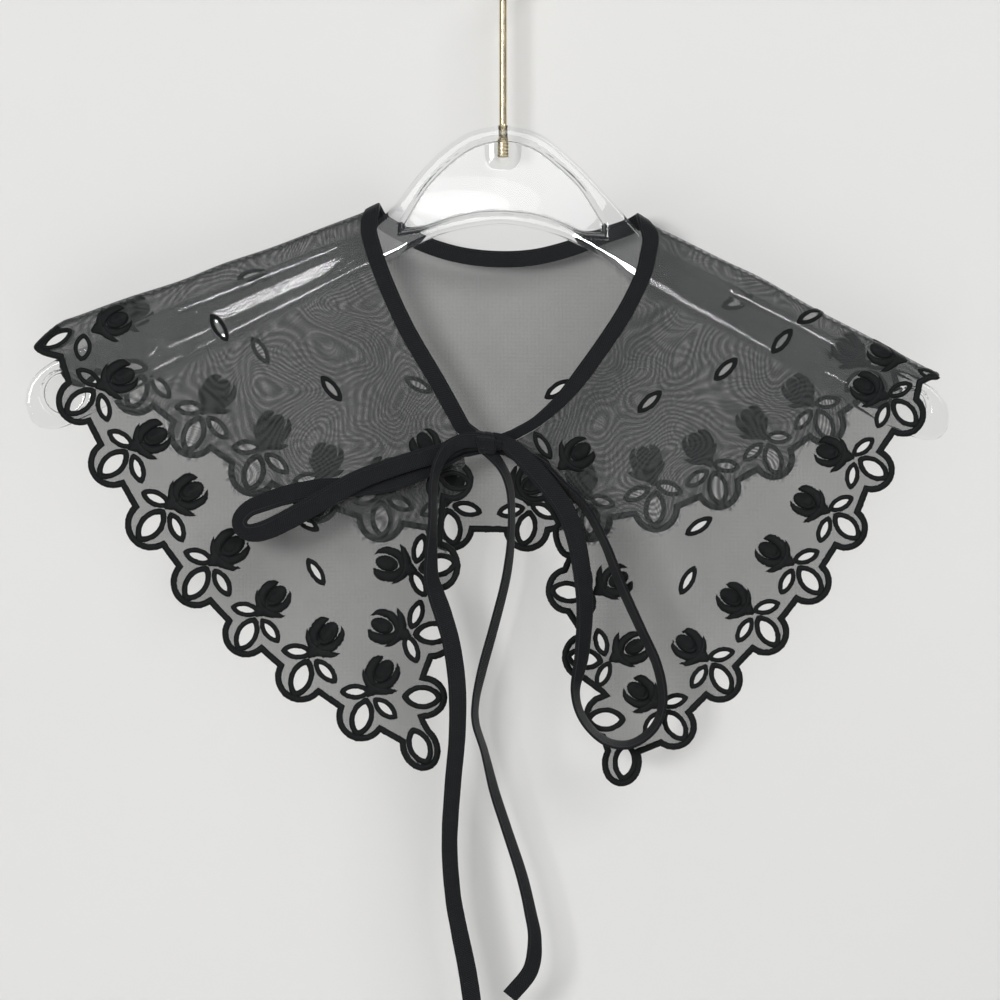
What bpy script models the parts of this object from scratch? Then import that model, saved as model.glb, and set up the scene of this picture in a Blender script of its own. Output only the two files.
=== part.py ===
"""Cape collar of embroidered organza with a tie ribbon, hung on a clear moulded hanger.

Metres, +Z up. X runs along the hanger and the front of the collar faces -Y. The origin is the
inside top of the hook's crook, where a rail holds the hanger. The collar hangs in two layers,
front and back, folded over the hanger's arms along the shoulder line. Tables are in millimetres.
"""

from collections import namedtuple

import bmesh
import bpy
import numpy as np
from mathutils.geometry import delaunay_2d_cdt

MM = 0.001
GAP = 0.3 * MM  # between pieces that touch
FRONT, BACK = -1, 1  # which side of the hanger a layer hangs on

# Cloth and ribbon
CLOTH_WALL = 1.0 * MM
BINDING_WIDTH = 7.6 * MM
BINDING_WALL = 1.8 * MM
RIBBON_WALL = 1.2 * MM
ROSE_HEIGHT = 1.5 * MM
SWELL = 1.6 * MM  # how far the hanging cloth bellies out
SWELL_PITCH = 74 * MM

# Hanger
HANGER_DEPTH = 12 * MM
HANGER_WEB = 3 * MM
HANGER_RIM = 5.2 * MM
HANGER_EDGE = 1.2 * MM  # rounding of its edges
WIRE_RADIUS = 1.8 * MM
CROOK_RADIUS = 20 * MM  # to the middle of the wire
CROOK_MEET = 74  # degrees below level where the shank's bend runs into the crook
THREAD_RADIUS = 2.3 * MM
THREAD_TOP = -103.2 * MM
THREAD_END = -116.8 * MM

ROLL_REACH = HANGER_DEPTH / 2 + GAP / 2  # from the middle to the cloth's inner face
ROLL_RISE = 3.4 * MM  # height of the fold's rounded top, on its inner face
ROLL_DROP = ROLL_RISE + CLOTH_WALL
ROLL_ROWS = (0.12, 0.45, 0.85, 1.6)  # rows of points below the shoulder line, in ROLL_DROP

# Embroidery: one repeat of the hem is a round lobe and a short straight step
LOBE_SHARE = 0.708  # of the repeat's length, the rest is the step
Eyelet = namedtuple("Eyelet", "along inward turn length width sides")
# Places along the hem and inwards from the middle of a lobe, for a repeat 33 mm long
HEM_REPEAT = 33.0
BIG_EYELET = Eyelet(along=0.7, inward=-0.3, turn=90, length=12.4, width=6.4, sides=8)
SIDE_EYELETS = (
    Eyelet(along=-8.0, inward=8.5, turn=150, length=9.6, width=2.9, sides=6),
    Eyelet(along=7.8, inward=8.5, turn=12, length=9.6, width=2.9, sides=6),
)
LONE_EYELET = Eyelet(along=0.0, inward=0.5, turn=90, length=12.4, width=6.4, sides=8)
Rose = namedtuple("Rose", "along inward radius")
ROSE = Rose(along=1.6, inward=23.0, radius=7.6)

# Narrow eyelets sprinkled over the panels: middle, and the way their length runs
Sprinkled = namedtuple("Sprinkled", "x z turn")
SPRINKLED_LENGTH = 8.6
SPRINKLED_WIDTH = 2.3
LEFT_SPRINKLED = (
    Sprinkled(-130.2, -195.5, -59),
    Sprinkled(-78.7, -223.5, -51),
    Sprinkled(-90.5, -284.5, -35),
    Sprinkled(-85.8, -307.5, -57),
)
RIGHT_SPRINKLED = (
    Sprinkled(141.0, -190.5, 28),
    Sprinkled(127.9, -201.7, 50),
    Sprinkled(102.1, -214.6, 44),
    Sprinkled(67.2, -229.5, 42),
    Sprinkled(89.7, -286.6, 33),
    Sprinkled(84.6, -311.4, 62),
)
BACK_SPRINKLED = (
    Sprinkled(-112.0, -205.6, -58),
    Sprinkled(-39.1, -221.5, -28),
    Sprinkled(25.3, -223.5, 35),
    Sprinkled(107.6, -183.8, 15),
)

# A scallop: middle, way it faces (0 is +X, 90 is up), half width, reach, sweep each way, filling
Lobe = namedtuple("Lobe", "x z facing across along sweep filling")

# The shoulder line, the top of the fold, from the left tip over the neck to the right tip
SHOULDER = (  # x, z
    (-217.0, -203.0),
    (-205.0, -193.0),
    (-194.5, -189.0),
    (-172.5, -181.0),
    (-149.0, -173.5),
    (-129.0, -165.5),
    (-106.5, -158.0),
    (-84.5, -149.5),
    (-60.0, -140.0),
    (-50.0, -133.5),
    (-38.0, -125.0),
    (0.0, -116.0),
    (44.0, -131.0),
    (64.5, -145.0),
    (84.0, -155.0),
    (102.0, -164.0),
    (119.0, -172.0),
    (135.5, -181.5),
    (148.0, -188.5),
    (166.5, -198.0),
    (183.0, -207.0),
    (201.0, -216.5),
)
NECK_LEFT = (-60.0, -140.0)
NECK_RIGHT = (64.5, -145.0)

# Corners between the hem's repeats, shoulder to point
LEFT_HEM = (
    (-199.0, -219.0),
    (-184.5, -247.5),
    (-168.5, -276.0),
    (-148.5, -303.5),
    (-126.0, -328.5),
    (-102.5, -349.0),
    (-75.0, -368.0),
    (-46.5, -384.0),
)
RIGHT_HEM = (
    (189.5, -226.5),
    (173.0, -251.0),
    (162.5, -278.5),
    (146.5, -303.5),
    (128.0, -327.5),
    (107.0, -349.5),
    (85.5, -370.5),
    (64.5, -392.5),
)
LEFT_TIP_CORNER = ((-205.0, -193.5), (-210.5, -198.0), (-215.5, -204.0), (-211.5, -208.0), (-204.0, -210.0))
RIGHT_TIP_CORNER = ((192.5, -221.5), (196.5, -219.5), (200.5, -217.0))
# The front edges below the knot, from the point up on the left and from the knot down on the right
LEFT_FRONT_EDGE = (
    Lobe(-38.0, -388.0, -66, 9.0, 11.2, 125, "lone eyelet"),
    Lobe(-36.5, -365.0, -2, 10.1, 11.0, 95, "lone eyelet"),
    Lobe(-32.5, -336.0, -8, 11.7, 11.2, 90, "rose"),
    Lobe(-30.0, -305.0, -2, 11.7, 10.5, 90, "rose"),
    Lobe(-22.5, -266.0, -28, 9.5, 8.8, 90, "rose"),
)
RIGHT_FRONT_EDGE = (
    Lobe(14.5, -266.5, 212, 9.5, 9.0, 90, "rose"),
    Lobe(29.5, -291.0, 190, 8.5, 6.0, 90, "plain"),
    Lobe(30.0, -316.0, 185, 11.0, 10.5, 90, "rose"),
    Lobe(37.5, -346.5, 184, 11.0, 10.5, 90, "rose"),
    Lobe(46.5, -374.0, 180, 10.5, 9.6, 90, "lone eyelet"),
    Lobe(54.5, -395.0, -95, 9.2, 11.0, 120, "lone eyelet"),
)
# The back's hem, shoulder to middle
BACK_LEFT_HEM = (
    (-204.0, -210.5),
    (-178.0, -217.5),
    (-152.5, -237.0),
    (-125.5, -256.0),
    (-96.5, -271.5),
    (-67.5, -281.0),
    (-36.0, -286.5),
    (-3.5, -287.5),
)
BACK_RIGHT_HEM = (
    (180.5, -215.5),
    (156.5, -233.5),
    (133.5, -250.5),
    (109.0, -264.5),
    (81.5, -276.5),
    (50.5, -282.0),
    (22.0, -287.5),
    (-9.0, -287.5),
)

# The middle of the neck binding: up the left front, across the back, down the right front
LEFT_NECK = (
    (-18.6, -241.2),
    (-30.0, -220.5),
    (-44.0, -196.5),
    (-54.5, -173.5),
    (-60.5, -156.0),
    (-61.5, -148.0),
)
BACK_NECK = (
    (-56.0, -146.0),
    (-46.0, -152.0),
    (-32.5, -158.0),
    (-17.5, -162.0),
    (-1.0, -163.5),
    (15.0, -162.5),
    (31.0, -158.5),
    (44.5, -153.5),
    (57.5, -149.0),
)
RIGHT_NECK = (
    (67.5, -154.0),
    (66.5, -162.0),
    (63.5, -173.0),
    (53.0, -193.0),
    (32.0, -222.5),
    (17.0, -236.5),
    (4.6, -243.6),
)

# The bow. Rows run along each ribbon: x, z, distance in front of the hanger, width, turn on its axis
Row = namedtuple("Row", "x z front width turn")
KNOT = Row(-7.8, -248.5, 16.0, 15.6, 0)
KNOT_HEIGHT = 12 * MM
KNOT_DEPTH = 12.4 * MM
LOOP_LEFT = (
    Row(-16.2, -248.9, 17.0, 7.0, 0),
    Row(-19.2, -249.3, 17.2, 7.4, 0),
    Row(-29.0, -253.0, 17.2, 8.4, 0),
    Row(-47.5, -258.6, 17.2, 8.6, 0),
    Row(-66.0, -265.4, 17.2, 9.2, 2),
    Row(-84.0, -275.5, 17.4, 9.6, 4),
    Row(-101.0, -285.0, 17.8, 9.6, 10),
    Row(-111.5, -289.2, 18.0, 9.4, 22),
    Row(-118.0, -288.8, 18.0, 8.8, 34),
    Row(-120.4, -284.2, 17.8, 8.8, 36),
    Row(-116.6, -279.0, 17.4, 8.8, 32),
    Row(-109.0, -275.6, 16.8, 9.0, 22),
    Row(-98.5, -272.2, 15.8, 9.0, 12),
    Row(-84.0, -269.4, 14.2, 9.0, 6),
    Row(-66.0, -268.4, 13.6, 8.8, 2),
    Row(-48.0, -265.6, 13.4, 8.6, 0),
    Row(-30.0, -257.6, 13.2, 7.8, 0),
    Row(-19.5, -252.0, 13.0, 7.2, 0),
    Row(-16.2, -251.4, 13.0, 7.0, 0),
)
LOOP_RIGHT = (
    Row(0.8, -246.8, 17.0, 7.0, 0),
    Row(3.8, -247.2, 17.2, 7.2, 0),
    Row(10.0, -251.0, 17.8, 8.2, 0),
    Row(19.0, -263.5, 18.6, 9.0, 0),
    Row(29.0, -280.0, 18.6, 9.0, 0),
    Row(36.0, -300.0, 17.6, 9.0, 6),
    Row(38.5, -321.5, 16.8, 8.8, 16),
    Row(36.0, -345.0, 16.6, 8.6, 40),
    Row(33.0, -362.0, 16.8, 8.6, 62),
    Row(36.5, -374.5, 17.4, 8.6, 66),
    Row(45.5, -384.0, 17.6, 8.6, 66),
    Row(56.0, -386.5, 17.6, 8.6, 66),
    Row(65.0, -382.5, 17.6, 8.6, 66),
    Row(71.0, -375.0, 17.6, 8.6, 66),
    Row(73.0, -364.0, 17.6, 8.6, 64),
    Row(70.0, -349.0, 17.6, 8.6, 62),
    Row(61.8, -331.0, 17.4, 8.6, 62),
    Row(53.5, -312.5, 17.2, 8.6, 60),
    Row(47.0, -296.0, 17.0, 8.6, 58),
    Row(39.5, -279.5, 15.6, 8.6, 48),
    Row(29.5, -266.0, 14.2, 8.4, 22),
    Row(17.0, -255.5, 12.9, 8.0, 6),
    Row(4.0, -251.0, 11.5, 7.2, 0),
    Row(0.8, -250.8, 11.5, 7.0, 0),
)
TAIL_LEFT = (
    Row(-16.0, -247.4, 19.6, 7.0, 0),
    Row(-18.6, -247.7, 20.2, 7.0, 0),
    Row(-25.0, -250.8, 20.6, 7.0, 0),
    Row(-30.5, -260.5, 20.4, 6.8, 12),
    Row(-32.6, -284.0, 18.6, 6.6, 22),
    Row(-31.8, -306.0, 16.6, 7.2, 12),
    Row(-28.0, -322.5, 15.8, 8.2, 0),
    Row(-23.5, -341.0, 15.4, 8.2, 0),
    Row(-21.0, -360.0, 15.0, 8.2, 0),
    Row(-21.0, -382.0, 14.2, 7.8, 0),
    Row(-23.0, -405.0, 13.2, 7.6, 0),
    Row(-24.5, -431.5, 12.6, 7.4, 0),
    Row(-23.0, -455.0, 12.4, 7.4, 0),
    Row(-20.0, -472.0, 12.4, 8.0, 0),
    Row(-16.0, -492.0, 12.6, 8.4, 0),
    Row(-12.0, -520.0, 13.0, 8.4, 0),
)
TAIL_RIGHT = (
    Row(-4.4, -254.9, 14.4, 6.0, 8),
    Row(-3.8, -257.4, 14.4, 6.2, 10),
    Row(-0.3, -264.5, 13.8, 6.6, 26),
    Row(3.0, -279.0, 13.4, 7.4, 50),
    Row(3.0, -302.0, 13.2, 7.6, 56),
    Row(0.5, -318.0, 13.0, 7.6, 58),
    Row(-4.5, -334.5, 12.6, 7.6, 58),
    Row(-9.5, -352.0, 12.0, 7.6, 58),
    Row(-12.5, -366.5, 11.0, 7.6, 66),
    Row(-12.5, -377.0, 10.4, 7.6, 66),
    Row(-8.5, -390.0, 9.8, 7.6, 66),
    Row(-4.0, -408.0, 9.4, 7.6, 56),
    Row(1.5, -425.0, 9.4, 7.6, 54),
    Row(8.5, -446.5, 9.6, 7.6, 50),
    Row(12.5, -463.5, 9.8, 7.6, 46),
    Row(14.5, -476.0, 10.0, 7.6, 36),
    Row(12.5, -490.0, 10.4, 7.6, 12),
    Row(3.0, -502.0, 10.8, 7.6, 0),
)

# Hanger outline, left end to right end along the top, and right end to left end underneath
HANGER_TOP = (
    (-219.5, -230.0),
    (-218.0, -222.5),
    (-213.0, -215.5),
    (-203.0, -209.0),
    (-184.0, -200.5),
    (-164.5, -191.0),
    (-140.0, -181.0),
    (-116.5, -172.0),
    (-90.0, -161.0),
    (-66.0, -152.0),
    (-58.5, -147.0),
    (-51.0, -140.5),
    (-43.0, -130.5),
    (-32.5, -118.0),
    (-20.0, -108.0),
    (-10.5, -104.0),
    (0.0, -102.5),
    (10.0, -104.0),
    (19.5, -108.0),
    (31.5, -118.0),
    (42.5, -129.0),
    (52.0, -139.5),
    (63.5, -152.5),
    (74.0, -160.0),
    (95.0, -170.5),
    (125.0, -185.5),
    (152.5, -200.0),
    (185.0, -216.5),
    (197.0, -223.0),
    (203.5, -230.5),
)
HANGER_UNDER = (
    (204.8, -236.0),
    (203.5, -242.5),
    (198.5, -246.8),
    (188.0, -245.5),
    (172.0, -238.0),
    (155.0, -228.0),
    (129.5, -212.0),
    (95.0, -193.5),
    (63.0, -177.0),
    (50.0, -166.0),
    (31.0, -155.5),
    (14.5, -150.0),
    (-1.5, -148.0),
    (-17.5, -150.0),
    (-33.5, -154.5),
    (-50.0, -163.0),
    (-66.0, -170.5),
    (-93.5, -185.0),
    (-116.0, -197.0),
    (-139.5, -209.0),
    (-162.5, -220.5),
    (-182.0, -231.0),
    (-197.0, -239.5),
    (-208.5, -242.0),
    (-216.0, -238.5),
)
# Sunk panels in each face of the hanger, from one x to another between its rims
HANGER_POCKETS = ((-158.0, -70.0), (-47.0, 47.0), (73.0, 150.0))
HANGER_END_POCKETS = ((-201.5, -225.5, 11.0), (187.0, -231.5, 9.0))  # x, z, radius
# The boss round the hook's bore, an outline let into the middle panel's upper edge
BOSS = ((6.2, -110.5), (6.0, -118.0), (3.4, -121.5), (-3.4, -121.5), (-6.0, -118.0), (-6.2, -110.5))


# Curves and outlines in the plane of the hanger


def flat(points):
    return np.array([(row[0] * MM, row[1] * MM) for row in points])


def smooth(points, step):
    """A Catmull-Rom curve through the points (rows of any width), sampled about every step along it."""
    points = np.asarray(points, float)
    padded = np.vstack([2 * points[0] - points[1], points, 2 * points[-1] - points[-2]])
    pieces = []
    for before, start, end, after in zip(padded, padded[1:], padded[2:], padded[3:]):
        count = max(1, round(float(np.linalg.norm((end - start)[:2])) / step))
        t = (np.arange(count) / count)[:, None]
        bend = (2 * before - 5 * start + 4 * end - after) * t**2
        twist = (3 * start - before - 3 * end + after) * t**3
        pieces.append(start + ((end - before) * t + bend + twist) / 2)
    return np.vstack(pieces + [points[-1:]])


SHOULDER_LINE = smooth(flat(SHOULDER), 4 * MM)


def shoulder_at(x):
    """Height of the shoulder line at x and its unit direction there."""
    z = np.interp(x, SHOULDER_LINE[:, 0], SHOULDER_LINE[:, 1])
    reach = 5 * MM
    rise = np.interp(x + reach, SHOULDER_LINE[:, 0], SHOULDER_LINE[:, 1])
    rise = rise - np.interp(x - reach, SHOULDER_LINE[:, 0], SHOULDER_LINE[:, 1])
    direction = np.stack([np.full_like(rise, 2 * reach), rise], axis=-1)
    return z, direction / np.linalg.norm(direction, axis=-1, keepdims=True)


def swell(x, drop, side):
    """How far a layer bellies away from the hanger: slow upright waves that grow below the arms."""
    grow = np.clip((drop - 40 * MM) / (70 * MM), 0, 1)
    grow = grow * grow * (3 - 2 * grow)
    phase = 0.6 if side == FRONT else 2.1
    return SWELL * grow * (1 + np.sin(2 * np.pi * x / SWELL_PITCH + phase))


def hang(points, side, lift):
    """Carries points of the flat drawing (x, z) onto a layer, lift above the face next to the hanger.

    Near the shoulder line the layer rolls over in a quarter of an ellipse, and below it hangs straight.
    """
    x, z = points[:, 0], points[:, 1]
    top, along = shoulder_at(x)
    up = np.stack([-along[:, 1], along[:, 0]], axis=-1)
    drop = np.maximum((top - z) * along[:, 0], 0)
    angle = np.arccos(np.clip(1 - drop / ROLL_DROP, 0, 1))
    hanging = np.maximum(drop - ROLL_DROP, 0)
    axis = points + up * (drop - ROLL_DROP)[:, None]
    place = axis + up * ((ROLL_RISE + lift) * np.cos(angle) - hanging)[:, None]
    y = side * (GAP / 2 + (ROLL_REACH + lift) * np.sin(angle) + swell(x, drop, side))
    return np.stack([place[:, 0], y, place[:, 1]], axis=-1)


def lobe_arc(lobe, count=9):
    """The round edge of a scallop, in the order that keeps the cloth on its left."""
    facing = np.radians(lobe.facing)
    outward = np.array([np.cos(facing), np.sin(facing)])
    onward = np.array([-outward[1], outward[0]])
    angle = np.radians(np.linspace(-lobe.sweep, lobe.sweep, count))[:, None]
    middle = np.array([lobe.x, lobe.z])
    return (middle + lobe.across * np.sin(angle) * onward + lobe.along * np.cos(angle) * outward) * MM


def hem_lobes(corners, cloth_on_left):
    """A scallop for each repeat of a hem whose corners run from the shoulder."""
    corners = np.array(corners)
    lobes = []
    for start, end in zip(corners, corners[1:]):
        run = end - start
        middle = start + run * LOBE_SHARE / 2
        half = float(np.linalg.norm(run)) * LOBE_SHARE / 2
        turn = -90 if cloth_on_left else 90
        facing = float(np.degrees(np.arctan2(run[1], run[0]))) + turn
        lobes.append(Lobe(middle[0], middle[1], facing, half, half, 90, "rose"))
    return lobes if cloth_on_left else lobes[::-1]


def eyelet_outline(middle, turn, length, width, sides):
    """A pointed oval hole: two tips and a bowed side between them on each side."""
    t = np.linspace(-1, 1, sides // 2 + 1)
    bow = width / 2 * (1 - t**2) ** 0.75
    loop = np.vstack([np.stack([t * length / 2, bow], 1), np.stack([t * length / 2, -bow], 1)[-2:0:-1]])
    angle = np.radians(turn)
    spin = np.array([[np.cos(angle), np.sin(angle)], [-np.sin(angle), np.cos(angle)]])
    return np.asarray(middle) + loop @ spin


def motif(lobe, handed):
    """The eyelets and the rose that fill a scallop: (list of hole outlines, list of (middle, radius))."""
    if lobe.filling == "plain":
        return [], []
    facing = np.radians(lobe.facing)
    outward = np.array([np.cos(facing), np.sin(facing)])
    onward = np.array([-outward[1], outward[0]]) * handed
    size = lobe.across * 2 / LOBE_SHARE / HEM_REPEAT if lobe.filling == "rose" else 1.0
    size = min(max(size, 0.86), 1.05)
    middle = np.array([lobe.x, lobe.z])

    def spot(along, inward):
        return (middle + size * (along * onward - inward * outward)) * MM

    lone = lobe.filling == "lone eyelet"
    eyelets = (LONE_EYELET,) if lone else (BIG_EYELET, *SIDE_EYELETS)
    holes = []
    for eye in eyelets:
        turn = np.degrees(np.arctan2(onward[1], onward[0])) - handed * eye.turn
        shape = (size * eye.length * MM, size * eye.width * MM, eye.sides)
        holes.append(eyelet_outline(spot(eye.along, eye.inward), turn, *shape))
    roses = [] if lone else [(spot(ROSE.along, ROSE.inward), size * ROSE.radius * MM)]
    return holes, roses


# Meshes


def inside(points, loop):
    """Even-odd test of points against one closed outline."""
    x, z = points[:, 0:1], points[:, 1:2]
    start, end = loop, np.roll(loop, -1, axis=0)
    crosses = (start[:, 1] > z) != (end[:, 1] > z)
    rise = np.where(end[:, 1] == start[:, 1], 1.0, end[:, 1] - start[:, 1])
    at = start[:, 0] + (z - start[:, 1]) / rise * (end[:, 0] - start[:, 0])
    return (np.sum(crosses & (x < at), axis=1) % 2).astype(bool)


def clearance(points, loop):
    """Distance of each point from a closed outline."""
    start, end = loop, np.roll(loop, -1, axis=0)
    run = end - start
    share = np.sum((points[:, None] - start) * run, axis=2) / np.maximum(np.sum(run**2, axis=1), 1e-18)
    nearest = start + np.clip(share, 0, 1)[..., None] * run
    return np.min(np.linalg.norm(points[:, None] - nearest, axis=2), axis=1)


def rose_rings(middle, radius, sides=10):
    """The pad of a satin-stitch rose: a five-petalled foot, a shoulder and a crown, with their lifts."""
    angle = np.arange(sides) * 2 * np.pi / sides
    ring = np.stack([np.cos(angle), np.sin(angle)], 1)
    petals = 1 + 0.07 * np.cos(5 * angle)[:, None]
    foot = middle + ring * petals * radius
    shoulder = middle + ring * petals * radius * 0.78
    crown = middle + ring[::2] * radius * 0.36
    return ((foot, 0.0), (shoulder, 0.75 * ROSE_HEIGHT), (crown, ROSE_HEIGHT))


def fill_points(outline, holes, roses, pitch):
    """Points inside the cut, in offset rows, clear of its edges, with closer rows where the cloth rolls."""
    low, high = outline.min(axis=0), outline.max(axis=0)
    rows = []
    for row, z in enumerate(np.arange(low[1] + pitch / 2, high[1], pitch * 0.87)):
        xs = np.arange(low[0] + pitch / 2 * (row % 2), high[0], pitch)
        rows.append(np.stack([xs, np.full_like(xs, z)], 1))
    below = SHOULDER_LINE[::3]
    rows += [below - [0, down * ROLL_DROP] for down in ROLL_ROWS]
    points = np.vstack(rows)
    top, along = shoulder_at(points[:, 0])
    rolled = (top - points[:, 1]) * along[:, 0] < 1.9 * ROLL_DROP
    margin = np.where(rolled, 0.5 * MM, 0.3 * pitch)
    grid = len(points) - len(ROLL_ROWS) * len(below)
    margin[:grid] = np.where(rolled[:grid], 1.0, 0.3 * pitch)
    keep = inside(points, outline) & (clearance(points, outline) > margin)
    for hole in holes:
        keep &= ~inside(points, hole) & (clearance(points, hole) > np.minimum(margin, 2.2 * MM))
    for middle, radius in roses:
        keep &= np.linalg.norm(points - middle, axis=1) > radius + 1.5 * MM
    return points[keep]


def cut_layer(name, outline, holes, roses, side, pitch, material):
    """A wall of cloth cut to an outline, with through holes and with roses raised on its outer face."""
    loops = [outline, *holes]
    rings = [ring for rose in roses for ring in rose_rings(*rose)]
    loose = fill_points(outline, holes, roses, pitch)
    points = np.vstack([*loops, *(ring for ring, _ in rings), loose])
    lifts = np.zeros(len(points))
    first = sum(len(loop) for loop in loops)
    for ring, lift in rings:
        lifts[first : first + len(ring)] = lift
        first += len(ring)
    faces = triangulate(name, loops, [ring for ring, _ in rings], loose)
    outer = hang(points, side, CLOTH_WALL + lifts)
    inner = hang(points, side, 0.0 * lifts)
    return two_sided(name, outer, inner, faces, material)


def triangulate(name, loops, rings=(), loose=()):
    """Triangles inside the first loop and outside the others, with rings and loose points drawn in."""
    drawn = [*loops, *rings]
    points = np.vstack([*drawn, *([loose] if len(loose) else [])])
    edges, first = [], 0
    for loop in drawn:
        index = np.arange(first, first + len(loop))
        edges += list(zip(index.tolist(), np.roll(index, -1).tolist()))
        first += len(loop)
    verts, _, faces, *_ = delaunay_2d_cdt((points / MM).tolist(), edges, [], 1, 1e-4)
    if len(verts) != len(points):
        raise ValueError(f"{name}: outlines in the cut meet ({len(verts)} points from {len(points)})")
    faces = np.array(faces)
    middles = points[faces].mean(axis=1)
    keep = inside(middles, loops[0])
    for hole in loops[1:]:
        keep &= ~inside(middles, hole)
    return faces[keep]


def two_sided(name, outer, inner, faces, material):
    """Closes two faces of a wall that share their layout, with a rim along every free edge."""
    count = len(outer)
    directed = np.vstack([faces[:, [0, 1]], faces[:, [1, 2]], faces[:, [2, 0]]])
    ways = {tuple(edge) for edge in directed.tolist()}
    rim = [(b, a, a + count, b + count) for a, b in ways if (b, a) not in ways]
    walls = faces.tolist() + (faces[:, ::-1] + count).tolist() + sorted(rim)
    return mesh_object(name, np.vstack([outer, inner]), walls, material)


def mesh_object(name, points, faces, material):
    mesh = bpy.data.meshes.new(name)
    mesh.from_pydata(np.asarray(points).tolist(), [], faces)
    shape = bmesh.new()
    shape.from_mesh(mesh)
    bmesh.ops.delete(shape, geom=[v for v in shape.verts if not v.link_faces], context="VERTS")
    bmesh.ops.recalc_face_normals(shape, faces=shape.faces)
    shape.to_mesh(mesh)
    shape.free()
    mesh.materials.append(material)
    obj = bpy.data.objects.new(name, mesh)
    parts.objects.link(obj)
    return obj


def loft(name, sections, material):
    """A closed bar through equal rings of points, capped at both ends."""
    sections = np.asarray(sections)
    stations, sides = sections.shape[:2]
    faces = [tuple(range(sides))[::-1], tuple((stations - 1) * sides + i for i in range(sides))]
    for station in range(stations - 1):
        for i in range(sides):
            a, b = station * sides + i, station * sides + (i + 1) % sides
            faces.append((a, b, b + sides, a + sides))
    return mesh_object(name, sections.reshape(-1, 3), faces, material)


def ribbon(name, rows, material, step=4.5 * MM):
    """A flat strip along a path, turned about its own axis as the rows say."""
    table = np.array([(r.x * MM, r.z * MM, r.front * MM, r.width * MM, np.radians(r.turn)) for r in rows])
    table = smooth(table, step)
    path = np.stack([table[:, 0], -table[:, 2], table[:, 1]], 1)
    along = np.gradient(path, axis=0)
    along /= np.linalg.norm(along, axis=1, keepdims=True)
    facing = np.array([0.0, -1.0, 0.0]) + along * along[:, 1:2]
    facing /= np.linalg.norm(facing, axis=1, keepdims=True)
    across = np.cross(along, facing)
    turn = table[:, 4:5]
    wide = (across * np.cos(turn) + facing * np.sin(turn)) * table[:, 3:4] / 2
    thick = (facing * np.cos(turn) - across * np.sin(turn)) * RIBBON_WALL / 2
    corners = [path + wide + thick, path - wide + thick, path - wide - thick, path + wide - thick]
    return loft(name, np.stack(corners, 1), material)


def cut(body, tool):
    """Takes a hidden tool away from a body."""
    cutters.objects.link(tool)
    tool.hide_render = True
    tool.display_type = "WIRE"
    boolean = body.modifiers.new("Cut " + tool.name, "BOOLEAN")
    boolean.operation = "DIFFERENCE"
    boolean.solver = "EXACT"
    boolean.object = tool


def principled(name, colour, roughness, metallic=0.0, transmission=0.0):
    material = bpy.data.materials.new(name)
    material.use_nodes = True
    shader = material.node_tree.nodes["Principled BSDF"]
    shader.inputs["Base Color"].default_value = (*colour, 1)
    shader.inputs["Roughness"].default_value = roughness
    shader.inputs["Metallic"].default_value = metallic
    shader.inputs["Transmission Weight"].default_value = transmission
    material.diffuse_color = (*colour, 1)
    return material


# The neck binding's path: flat stations with the direction towards the neck opening


def neck_stations():
    """Flat (x, z, inward x, inward z, side) stations of the binding, left knot end to right knot end."""
    neck_left, neck_right = flat([NECK_LEFT])[0], flat([NECK_RIGHT])[0]
    runs = (
        (np.vstack([flat(LEFT_NECK), neck_left]), FRONT),
        (np.vstack([neck_left, flat(BACK_NECK), neck_right]), BACK),
        (np.vstack([neck_right, flat(RIGHT_NECK)]), FRONT),
    )
    stations = []
    for control, side in runs:
        path = smooth(control, 5 * MM)
        along = np.gradient(path, axis=0)
        along /= np.linalg.norm(along, axis=1, keepdims=True)
        inward = np.stack([along[:, 1], -along[:, 0]], 1) * -side
        for neck, sign in ((neck_left, 1), (neck_right, -1)):
            _, shoulder = shoulder_at(path[:, 0])
            near = np.clip(1 - np.linalg.norm(path - neck, axis=1) / (9 * MM), 0, 1)[:, None]
            inward = inward * (1 - near) + sign * shoulder * near
        inward /= np.linalg.norm(inward, axis=1, keepdims=True)
        stations.append(np.hstack([path, inward, np.full((len(path), 1), side)]))
    return stations


def neck_edge(stations):
    """Where the cloth stops beside the binding, on the flat drawing."""
    return stations[:, :2] - stations[:, 2:4] * (BINDING_WIDTH / 2 + 1.5 * GAP)


def neck_binding(name, runs, material):
    """The bias strip round the neck, as one bar over both shoulders."""
    sections = []
    for run in runs:
        side = int(run[0, 4])
        half = run[:, 2:4] * BINDING_WIDTH / 2
        lift = np.full(len(run), BINDING_WALL)
        ring = [
            hang(run[:, :2] + half, side, lift),
            hang(run[:, :2] - half, side, lift),
            hang(run[:, :2] - half, side, 0 * lift),
            hang(run[:, :2] + half, side, 0 * lift),
        ]
        sections.append(np.stack(ring, 1))
    return loft(name, np.vstack(sections), material)


# The collar's three layers


def fold_line(start_x, end_x, step=11 * MM):
    """Points of the shoulder line from one x to another, ends left out."""
    count = max(2, round(abs(end_x - start_x) / step))
    x = np.linspace(start_x, end_x, count + 1)[1:-1]
    return np.stack([x, shoulder_at(x)[0]], 1)


def fillings(lobes, handed, loose):
    """Holes and roses of a panel, from its scallops and its sprinkled eyelets."""
    shape = (SPRINKLED_LENGTH * MM, SPRINKLED_WIDTH * MM, 6)
    holes = [eyelet_outline((eye.x * MM, eye.z * MM), eye.turn, *shape) for eye in loose]
    roses = []
    for lobe in lobes:
        lobe_holes, lobe_roses = motif(lobe, handed)
        holes += lobe_holes
        roses += lobe_roses
    return holes, roses


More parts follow.
